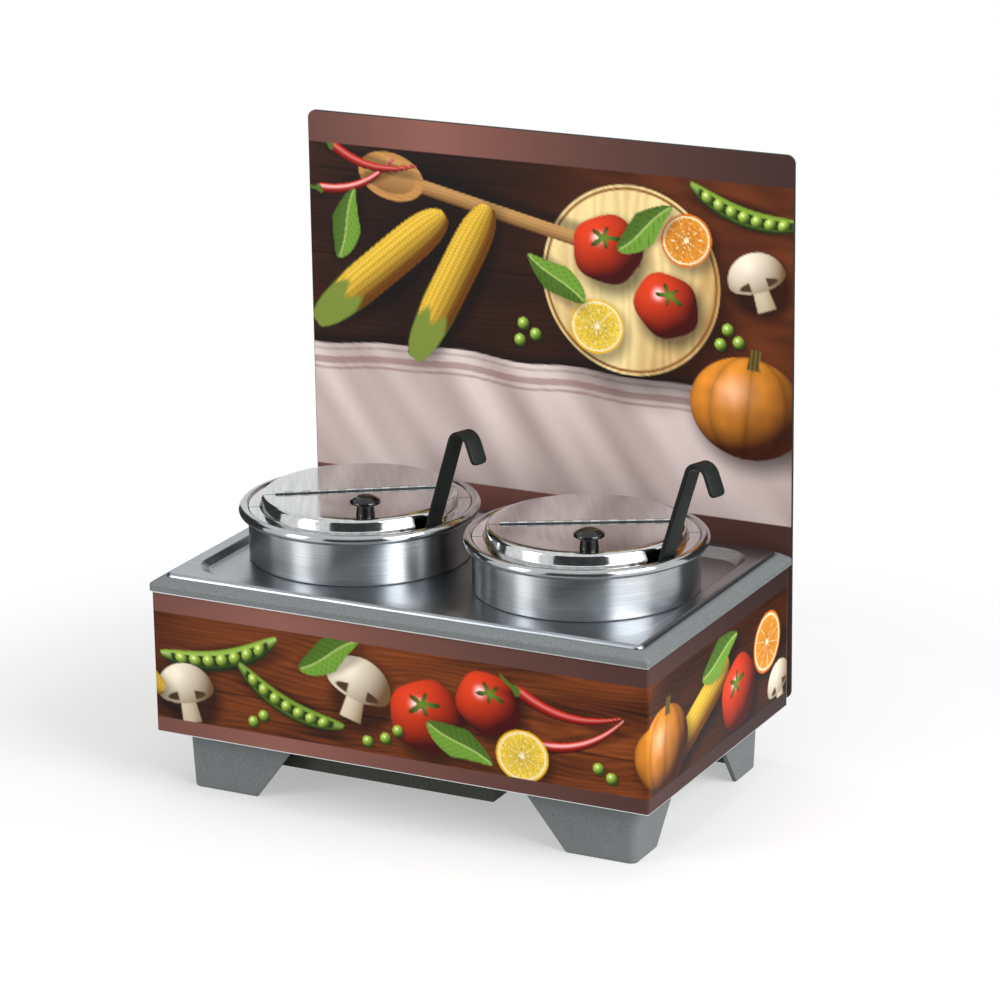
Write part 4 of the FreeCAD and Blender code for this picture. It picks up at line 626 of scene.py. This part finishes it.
# The front leaf's knuckles get a darker, rougher copy of the hinge steel: painted shade, so the knuckles show
# one by one
front_hinge_shaded_copy = brushed(
    "hinge_steel_painted_shade", "#a4a6a7", "#b4b6b7", 0.16, 0.26, 3.0, (1.0, 1.0, 1.0), {}
)
# Zinc plate on screws: a cool, slightly cloudy shine
screw_steel = brushed("zinc_plated_screw", "#989b9e", "#acafb2", 0.25, 0.4, 1.5, (1.0, 1.0, 1.0), {})
# Bare rolled aluminium at the back of the wrap: pale and dull, with level rolling lines
bare_sheet = brushed("bare_aluminium_sheet", "#bec0c1", "#ced0d1", 0.35, 0.5, 2.0, (0.06, 0.06, 1.0), {})
# Galvanised sheet: flat zinc crystals about 9 mm across, some lighter than others
spangle = speckled("galvanised_sheet", "#8a8f92", "#b3b7b9", 9.0, {"Metallic": 1.0, "Roughness": 0.42}, 0.1)
# Steel sheath of the element, browned in patches by its own heat
element_skin = speckled(
    "heat_tinted_sheath", "#4a4038", "#7a6c60", 7.0, {"Metallic": 1.0, "Roughness": 0.5}, 0.2
)
# Drawn copper, dulled by the air in soft patches
copper = speckled("dull_copper", "#8a5130", "#b9774c", 5.0, {"Metallic": 1.0, "Roughness": 0.4}, 0.1)
# Sprayed enamel: dark olive grey, satin, with a slight orange peel
box_paint = speckled(
    "olive_grey_enamel", "#2f3229", "#3b3e34", 3.0, {"Roughness": 0.5, "Specular IOR Level": 0.25}, 0.15
)
# Phenolic pressed in a polished mould: deep black with small sharp lights
phenolic = speckled("black_phenolic", "#070808", "#0d0f0f", 4.0, {"Roughness": 0.14}, 0.03)
# The dial's pointer rib stands 0.8 mm proud of its face and is filled with white paint
dial_phenolic = painted_rib("white_filled_phenolic", phenolic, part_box("thermostat_dial")[1][1] - 0.5 * MM)
# Grip moulded in a blasted mould: soft black with wide faint lights
grip_plastic = speckled(
    "black_moulded_grip", "#101312", "#171b1a", 2.5, {"Roughness": 0.42, "Specular IOR Level": 0.16}, 0.08
)
# Moulded nylon: dull black, or milky white where it isn't dyed
nylon = speckled("black_nylon", "#141615", "#1f2221", 2.0, {"Roughness": 0.5}, 0.15)
pale_nylon = speckled("natural_nylon", "#d2cdbd", "#e4e0d2", 5.0, {"Roughness": 0.5}, 0.1)
# Foam board with black paper faces: matt, with the paper's tooth drawn coarse enough to show
black_board = speckled("black_foam_board", "#171818", "#232525", 2.2, {"Roughness": 0.62}, 0.2)
# Glass-fibre blanket: loose yellow fibres that lie one way, with no gloss
blanket = speckled(
    "glass_fibre_blanket", "#b9a36a", "#e3d6a8", 5.0, {"Roughness": 0.95}, 0.9, (1.0, 0.2, 1.0)
)
# Braided glass sleeve: off-white, with cells of 1.2 mm
sleeve = speckled("braided_glass_sleeve", "#b3aea2", "#dcd8cd", 1.2, {"Roughness": 0.8}, 0.6)
# Moulded amber lens: warm and glossy
lens = speckled("amber_lens", "#c25a08", "#e8861c", 6.0, {"Roughness": 0.12, "Coat Weight": 0.6}, 0.05)
film = printed_film("printed_vinyl_film")

finishes = {
    "housing": resin, "well_pan": pan_steel, "wrap_panel": bare_sheet, "back_board": black_board,
    "adaptor_plate": plate_steel, "heater_cover": spangle, "element_clamps": spangle,
    "heating_element": element_skin, "insulation_blanket": blanket, "control_box": box_paint,
    "thermostat_bulb": copper, "thermostat_switch": phenolic, "thermostat_dial": dial_phenolic,
    "pilot_lamp": nylon, "pilot_lens": lens, "cord_gland": nylon, "terminal_block": pale_nylon,
    "lead_wires": sleeve, "board_standoffs": nylon,
}
for name, node in nodes.items():
    kind = name.split("_", 1)[1] if name.startswith(("left_", "right_")) else name
    if kind.startswith("hinge"):
        # The front leaf takes the darker copy of the hinge steel, which is painted shade between the knuckles
        node.material_slots[0].material = front_hinge_shaded_copy if "front" in kind else hinge_steel
    elif kind.endswith(("screws", "screw", "spindle")):
        node.material_slots[0].material = screw_steel
    elif name in finishes:
        node.material_slots[0].material = finishes[name]


# Pots, lids, knobs and ladles


def pot_profile():
    """Closed section of a pot: inner line up to the bead and round its curl, then back along the outside."""
    inner_r, body_r, shoulder = COLLAR_R - POT_SHEET, POT_R - POT_SHEET, FLOOR_TOP + POT_SHEET
    low = POT_BOTTOM + POT_SHEET
    line = rounded_line(
        [(0, low), (body_r, low), (body_r, shoulder), (inner_r, shoulder), (inner_r, BEAD_Z)],
        [POT_FOOT_ROUND, POT_SHOULDER_ROUND, POT_COLLAR_ROUND],
    )
    angle = np.radians(180.0 - np.linspace(0.0, BEAD_CURL, 40)[1:])
    curl = np.stack([BEAD_CENTRE_R + BEAD_R * np.cos(angle), BEAD_Z + BEAD_R * np.sin(angle)], axis=1)
    line = np.concatenate([line, curl])
    outer = offset_line(line, POT_SHEET)
    outer[0, 0] = 0.0
    return np.concatenate([line, outer[::-1]])


def lid_profile():
    """Top line of a lid, from its middle over the edge and down the skirt to the flange; the notch's row."""
    foot = LID_UNDER + LID_SHEET
    edge = rounded_line(
        [(LID_FLAT_R, LID_TOP), (LID_EDGE_R, LID_TOP), (LID_SKIRT_R, foot), (LID_FLANGE_R, foot)],
        [LID_EDGE_ROUND, LID_SKIRT_ROUND],
    )
    flat = np.append(np.linspace(HINGE_SLOT, HINGE_REACH, 28), HINGE_REACH + 0.2)
    line = np.concatenate([np.stack([flat, 0 * flat + LID_TOP], axis=1), edge])
    row = int(np.argmax(line[:, 1] < NOTCH_Z))
    share = (line[row - 1, 1] - NOTCH_Z) / (line[row - 1, 1] - line[row, 1])
    return np.insert(line, row, line[row - 1] + share * (line[row] - line[row - 1]), axis=0), row


def lid_half(front, notch):
    """Half lid as a skin: each row of the profile is an arc between its two ends on the straight cut.

    At radius r the arc runs from asin(cut / r) to 180 degrees less that, where the cut is wide along the
    hinge and narrow beyond it. The columns beside the notch follow its two straight sides, which lie
    asin(half width / r) from its middle."""
    line, row = lid_profile()
    r, z = line[:, :1], line[:, 1:]
    cut = np.arcsin(np.clip(np.where(r > HINGE_REACH + 0.1, LID_CUT, HINGE_SLOT) / r, -1, 1))
    base = math.pi if front else 0.0
    start = base + cut
    end = base + math.pi - cut
    beside = np.arcsin(NOTCH_HALF / np.maximum(r, NOTCH_R))
    spread = np.arcsin(LID_CUT / np.maximum(r, NOTCH_R))
    first = (notch - beside - spread - base) / (math.pi - 2 * spread)
    last = (notch + beside - spread - base) / (math.pi - 2 * spread)
    if not front:
        first, last = 0.4 + 0 * r, 0.6 + 0 * r
    counts = (84, 18, 36)
    spans = [(0 * r, first), (first, last), (last, 1 + 0 * r)]
    share = [a + (b - a) * np.linspace(0, 1, n, endpoint=False) for (a, b), n in zip(spans, counts)]
    share = np.concatenate(share + [1 + 0 * r], axis=1)
    angle = start + (end - start) * share
    points = np.stack([r * np.cos(angle), r * np.sin(angle), z + 0 * angle], axis=-1)
    faces = grid_faces(*angle.shape)
    if front:
        keep = np.ones(faces.shape[:2], dtype=bool)
        keep[row:, counts[0]:counts[0] + counts[1]] = False
        faces = faces[keep]
    return points, faces


def knob_profile():
    """Closed section of a lid knob: flared foot, waisted neck and domed cap."""
    cap = KNOB_HEIGHT - KNOB_CAP
    return rounded_line(
        [
            (0, 0), (KNOB_FOOT_R, 0), (KNOB_NECK_R, cap), (KNOB_CAP_R, cap + 2.0), (KNOB_CAP_R, cap + 5.0),
            (KNOB_CROWN_R, KNOB_HEIGHT), (0, KNOB_HEIGHT),
        ],
        [0.8, 3.0, 1.0, 3.0, 8.0],
    )


def ladle_frame():
    """Where the handle passes the bead, in the hook's plane, with unit vectors along it and outward."""
    along = np.array([math.sin(LADLE_LEAN), math.cos(LADLE_LEAN)])
    outward = np.array([math.cos(LADLE_LEAN), -math.sin(LADLE_LEAN)])
    seat = np.array([BEAD_CENTRE_R, BEAD_Z]) - outward * (BEAD_R + GRIP_CLEAR + GRIP_THICK / 2)
    return seat, along, outward


def hooked_path(low, end):
    """Points and outward normals of the handle's middle line: straight up, round the hook, down its end."""
    seat, along, outward = ladle_frame()
    rise = np.concatenate([np.linspace(low, low + 2.0, 7), np.linspace(low + 4.0, GRIP_RUN, 24)])[:, None]
    straight = seat + along * rise
    angle = np.linspace(0.0, HOOK_TURN, 40)[1:, None]
    centre = seat + along * GRIP_RUN + outward * HOOK_R
    bend = centre - outward * HOOK_R * np.cos(angle) + along * HOOK_R * np.sin(angle)
    ahead = along * math.cos(HOOK_TURN) + outward * math.sin(HOOK_TURN)
    rounding = GRIP_TIP * np.cos(np.linspace(0, math.pi / 2, 14))
    tail = np.concatenate([np.linspace(0.0, end - GRIP_TIP - 0.2, 8)[1:], end - rounding])
    line = np.concatenate([straight, bend, bend[-1] + ahead * tail[:, None]])
    turn = np.concatenate([0 * rise, angle, HOOK_TURN + 0 * tail[:, None]])
    return line, outward * np.cos(turn) - along * np.sin(turn)


def flat_section(width, thick, radius, steps=6):
    """Rounded rectangle as (across, through) points, anticlockwise."""
    angle = (np.arange(4)[:, None] * 90.0 + np.linspace(0.0, 90.0, steps)) * math.pi / 180.0
    corner = np.array([(1, 1), (-1, 1), (-1, -1), (1, -1)])[:, None, :]
    half = np.array([width / 2 - radius, thick / 2 - radius])
    return (corner * half + radius * np.stack([np.cos(angle), np.sin(angle)], axis=-1)).reshape(-1, 2)


def hooked_bar(low, end, width, thick, radius, tip):
    """Flat section carried along the handle's line; near the tip its width follows a quarter circle."""
    line, normal = hooked_path(low, end)
    section = flat_section(width, thick, radius)
    away = np.linalg.norm(line - line[-1], axis=1)
    inside = np.clip(tip - away, 0.0, tip)
    narrow = (width / 2 - tip + np.sqrt(tip * tip - inside * inside)) / (width / 2)
    near = np.clip(radius - away, 0.0, radius)
    thin = (thick / 2 - radius + np.sqrt(radius * radius - near * near)) / (thick / 2)
    across = section[None, :, 0] * narrow[:, None]
    through = section[None, :, 1] * thin[:, None]
    flat = line[:, None, :] + normal[:, None, :] * through[..., None]
    points = np.stack([flat[..., 0], across, flat[..., 1]], axis=-1)
    middles = np.repeat(points[[0, -1]].mean(axis=1, keepdims=True), points.shape[1], axis=1)
    points = np.concatenate([middles[:1], points, middles[1:]])
    return points, grid_faces(*points.shape[:2], False, True)


def bowl_shell():
    """Half ball of the ladle: a section from its bottom to its lip and back inside, spun about the handle."""
    seat, along, outward = ladle_frame()
    reach = BOWL_R + STRIP_THICK / 2
    height = POT_BOTTOM + POT_SHEET + BOWL_CLEAR + BOWL_R
    low = (height - seat[1] + outward[1] * reach) / along[1]
    centre = seat + along * low - outward * reach
    angle = np.linspace(0.0, math.pi / 2, 40)
    ball = np.stack([np.sin(angle), -np.cos(angle)], axis=1)
    points, faces = turned(np.concatenate([ball * BOWL_R, ball[::-1] * (BOWL_R - BOWL_SHEET)]), 120)
    frame_of = np.array([[outward[0], 0.0, outward[1]], [0.0, 1.0, 0.0], [along[0], 0.0, along[1]]])
    return points @ frame_of + np.array([centre[0], 0.0, centre[1]]), faces, low


for side, x in POT_AT.items():
    points, faces = turned(pot_profile())
    pot = piece(side + "_pot_shell", stand(points, 0.0, x), faces)
    finish_piece(pot, side + "_pot", side + "_pot", collar_steel)
    for front, body, node in ((False, "_lid", "_lid_rear"), (True, "_flap", "_lid_flap")):
        notch = math.radians(360.0 + LADLE_BEARING - LID_TURN[side])
        points, faces = lid_half(front, notch)
        half = piece(side + node + "_shell", stand(points, LID_TURN[side], x), faces, LID_SHEET)
        finish_piece(half, side + body, side + node, lid_steel)
    points, faces = turned(knob_profile(), 96)
    points = points + np.array([0.0, -KNOB_OUT, LID_TOP])
    knob = piece(side + "_knob_body", stand(points, LID_TURN[side], x), faces)
    finish_piece(knob, side + "_flap", side + "_lid_knob", phenolic)
    points, faces, low = bowl_shell()
    bowl = piece(side + "_ladle_bowl", stand(points, LADLE_BEARING, x), faces)
    finish_piece(bowl, side + "_ladle", side + "_ladle", ladle_steel)
    low, end = low - STRIP_BELOW, HOOK_END - STRIP_SHORT
    points, faces = hooked_bar(low, end, STRIP_WIDTH, STRIP_THICK, STRIP_ROUND, 0.0)
    strip = piece(side + "_ladle_strip", stand(points, LADLE_BEARING, x), faces)
    finish_piece(strip, side + "_ladle", None, ladle_steel)
    points, faces = hooked_bar(-GRIP_BELOW, HOOK_END, GRIP_WIDTH, GRIP_THICK, GRIP_ROUND, GRIP_TIP)
    grip = piece(side + "_grip_body", stand(points, LADLE_BEARING, x), faces, sharp=50.0)
    finish_piece(grip, side + "_ladle", side + "_ladle_grip", grip_plastic)


# Printed films


def inked(name, points, rgb):
    """Film from a grid of points, with the printed colour stored on its vertices."""
    obj = piece(name, points, grid_faces(*points.shape[:2]), merge=False)
    ink = obj.data.color_attributes.new("print", "FLOAT_COLOR", "POINT")
    ink.data.foreach_set("color", np.concatenate([rgb, np.ones(rgb.shape[:2] + (1,))], axis=-1).ravel())
    finish_piece(obj, "base", None, film)


def wrap_film():
    """Film round the wrap: a length u along the front, a quarter circle at each corner and along the sides.

    Its rows lie close together in the picture and far apart in the two plain bands."""
    flat = WRAP_X - WRAP_BEND
    arc = WRAP_BEND * math.pi / 2
    reach = flat + arc + WRAP_FRONT + WRAP_REAR - 2 * WRAP_BEND - 0.4
    bottom, top = WRAP_PICTURE
    low = np.linspace(WRAP_LOW + 0.9, bottom - 1.5, 3)
    high = np.linspace(top + 1.5, WRAP_HIGH - 2.1, 3)
    rows = np.concatenate([low, np.linspace(bottom - 0.5, top + 0.5, 88), high])
    u, v = np.meshgrid(np.linspace(-reach, reach, 1040), rows)
    run = np.abs(u)
    turn = np.clip((run - flat) / arc, 0.0, 1.0) * math.pi / 2
    radius = WRAP_BEND + FILM
    x = np.minimum(run, flat) + radius * np.sin(turn)
    y = -WRAP_FRONT + WRAP_BEND - radius * np.cos(turn) + np.maximum(run - flat - arc, 0.0)
    inked("wrap_film", np.stack([np.sign(u) * x, y, v], axis=-1)[::-1], wrap_picture(u, v)[::-1])


def board_film():
    """Film on the board's front: rows as wide as the board with its round corners, close in the picture."""
    rim = np.linspace(FILM_INSET, BOARD_CORNER, 9)
    picture = np.linspace(BOARD_PICTURE[0] - 1.0, BOARD_PICTURE[1] + 1.0, 234)
    rows = np.concatenate([BOARD_LOW + rim, picture, BOARD_HIGH - rim[::-1]])
    share, v = np.meshgrid(np.linspace(-1, 1, 390), rows)
    end = np.minimum(v - BOARD_LOW, BOARD_HIGH - v)
    dip = np.clip(BOARD_CORNER - end, 0.0, BOARD_CORNER)
    half = BOARD_X - FILM_INSET - BOARD_CORNER + np.sqrt(BOARD_CORNER ** 2 - dip ** 2)
    u = share * half
    points = np.stack([u, 0 * u + BOARD_FACE - FILM, v], axis=-1)
    inked("board_film", points[::-1], board_picture(u, v)[::-1])


wrap_film()
board_film()

# Stage: pale floor, soft lights, white surround and the camera of the photograph

scene = bpy.context.scene
scene.view_settings.view_transform = "Standard"


def shown_rays(tree):
    """1 for rays of the camera, of gloss and of glass, 0 for the rays that carry light."""
    ray = add(tree, "ShaderNodeLightPath").outputs
    shown = ray["Is Camera Ray"]
    for other in ("Is Glossy Ray", "Is Transmission Ray"):
        larger = add(tree, "ShaderNodeMath", None, {0: shown, 1: ray[other]}, operation="MAXIMUM")
        shown = larger.outputs[0]
    return shown


world = bpy.data.worlds.new("white_studio")
scene.world = world
world.use_nodes = True
tree = world.node_tree
sky = tree.nodes["Background"]
strength = add(tree, "ShaderNodeMapRange", {"To Min": 0.45, "To Max": 1.0}, {"Value": shown_rays(tree)})
sky.inputs["Color"].default_value = (1.0, 1.0, 1.0, 1.0)
tree.links.new(strength.outputs["Result"], sky.inputs["Strength"])

# Pale matt floor, which keeps the object's shadow and turns pure white 0.4 to 0.85 m from the middle
floor_finish, tree, shader = finish_named("pale_floor", {"Base Color": rgba("#bcbcbc"), "Roughness": 0.9})
seen = shown_rays(tree)
glow = add(tree, "ShaderNodeMapRange", {"To Min": 0.0, "To Max": 0.41}, {"Value": seen})
shader.inputs["Emission Color"].default_value = (1.0, 1.0, 1.0, 1.0)
tree.links.new(glow.outputs["Result"], shader.inputs["Emission Strength"])
place = add(tree, "ShaderNodeTexCoord").outputs["Object"]
reach = add(tree, "ShaderNodeVectorMath", None, {0: place}, operation="LENGTH").outputs["Value"]
far = add(
    tree, "ShaderNodeMapRange", {"From Min": 0.4, "From Max": 0.85}, {"Value": reach},
    interpolation_type="SMOOTHSTEP",
).outputs["Result"]
share = add(tree, "ShaderNodeMath", None, {0: seen, 1: far}, operation="MULTIPLY").outputs[0]
white = add(tree, "ShaderNodeEmission", {"Color": (1.0, 1.0, 1.0, 1.0), "Strength": 1.0})
mixed = add(tree, "ShaderNodeMixShader", None, {0: share, 1: shader.outputs[0], 2: white.outputs[0]})
tree.links.new(mixed.outputs[0], tree.nodes["Material Output"].inputs["Surface"])
wide = 6000.0
corners = np.array([[-wide, -wide, 0.0], [-wide, wide, 0.0], [wide, wide, 0.0], [wide, -wide, 0.0]])
floor = piece("floor", corners, np.array([[0, 3, 2, 1]]), merge=False)
floor.data.materials.append(floor_finish)


def dark_card(name, start, end):
    """Dark flag that only gloss sees, between two bearings from the front: along the floor, then upright."""
    bearing = np.radians(np.linspace(start, end, 24))[:, None]
    out = np.array([600.0, 2600.0, 3000.0, 3000.0])
    high = np.array([3.0, 3.0, 300.0, 2300.0])
    points = np.stack([np.sin(bearing) * out, -np.cos(bearing) * out, high + 0 * bearing], axis=-1)
    card = piece(name, points, grid_faces(*points.shape[:2]), merge=False)
    card.data.materials.append(card_finish)
    card.visible_camera = card.visible_diffuse = card.visible_shadow = card.visible_transmission = False


card_finish = finish_named("dark_card", {"Base Color": rgba("#3c3e40"), "Roughness": 1.0})[0]
dark_card("front_card", -8.0, 52.0)
dark_card("left_card", -128.0, -72.0)
dark_card("right_card", 122.0, 172.0)


def soft_light(name, at, aim, size, power, mirrored=True):
    """Soft box at a place, facing a point; metres and watts. One that isn't mirrored leaves gloss alone."""
    lamp = bpy.data.lights.new(name, "AREA")
    lamp.shape = "RECTANGLE"
    lamp.size, lamp.size_y = size
    lamp.energy = power
    obj = bpy.data.objects.new(name, lamp)
    turn = (Vector(aim) - Vector(at)).to_track_quat("-Z", "Y")
    obj.matrix_world = Matrix.Translation(at) @ turn.to_matrix().to_4x4()
    obj.visible_glossy = mirrored
    scene.collection.objects.link(obj)


soft_light("key", (2.47, -0.8, 1.5), (0.0, 0.0, 0.25), (1.8, 1.8), 90.0)
soft_light("fill", (-1.5, -2.12, 0.95), (0.0, 0.0, 0.25), (0.8, 1.8), 28.0)
soft_light("top", (0.0, 0.2, 2.4), (0.0, 0.0, 0.2), (1.6, 1.2), 12.0, mirrored=False)

AZIMUTH, ELEVATION, ROLL = math.radians(27.22304), math.radians(17.52810), math.radians(-0.82650)
DISTANCE, LENS, TARGET = 4.146034, 148.4915, Vector((0.019501, 0.025023, 0.291605))
back = Vector((
    math.sin(AZIMUTH) * math.cos(ELEVATION), -math.cos(AZIMUTH) * math.cos(ELEVATION), math.sin(ELEVATION)
))
right = Vector((math.cos(AZIMUTH), math.sin(AZIMUTH), 0.0))
up = back.cross(right)
across = right * math.cos(ROLL) + up * math.sin(ROLL)
upward = up * math.cos(ROLL) - right * math.sin(ROLL)
eye = bpy.data.cameras.new("camera")
eye.lens, eye.sensor_width, eye.clip_end = LENS, 36.0, 50.0
camera = bpy.data.objects.new("camera", eye)
turn = Matrix((across, upward, back)).transposed()
camera.matrix_world = Matrix.Translation(TARGET + back * DISTANCE) @ turn.to_4x4()
scene.collection.objects.link(camera)
scene.camera = camera
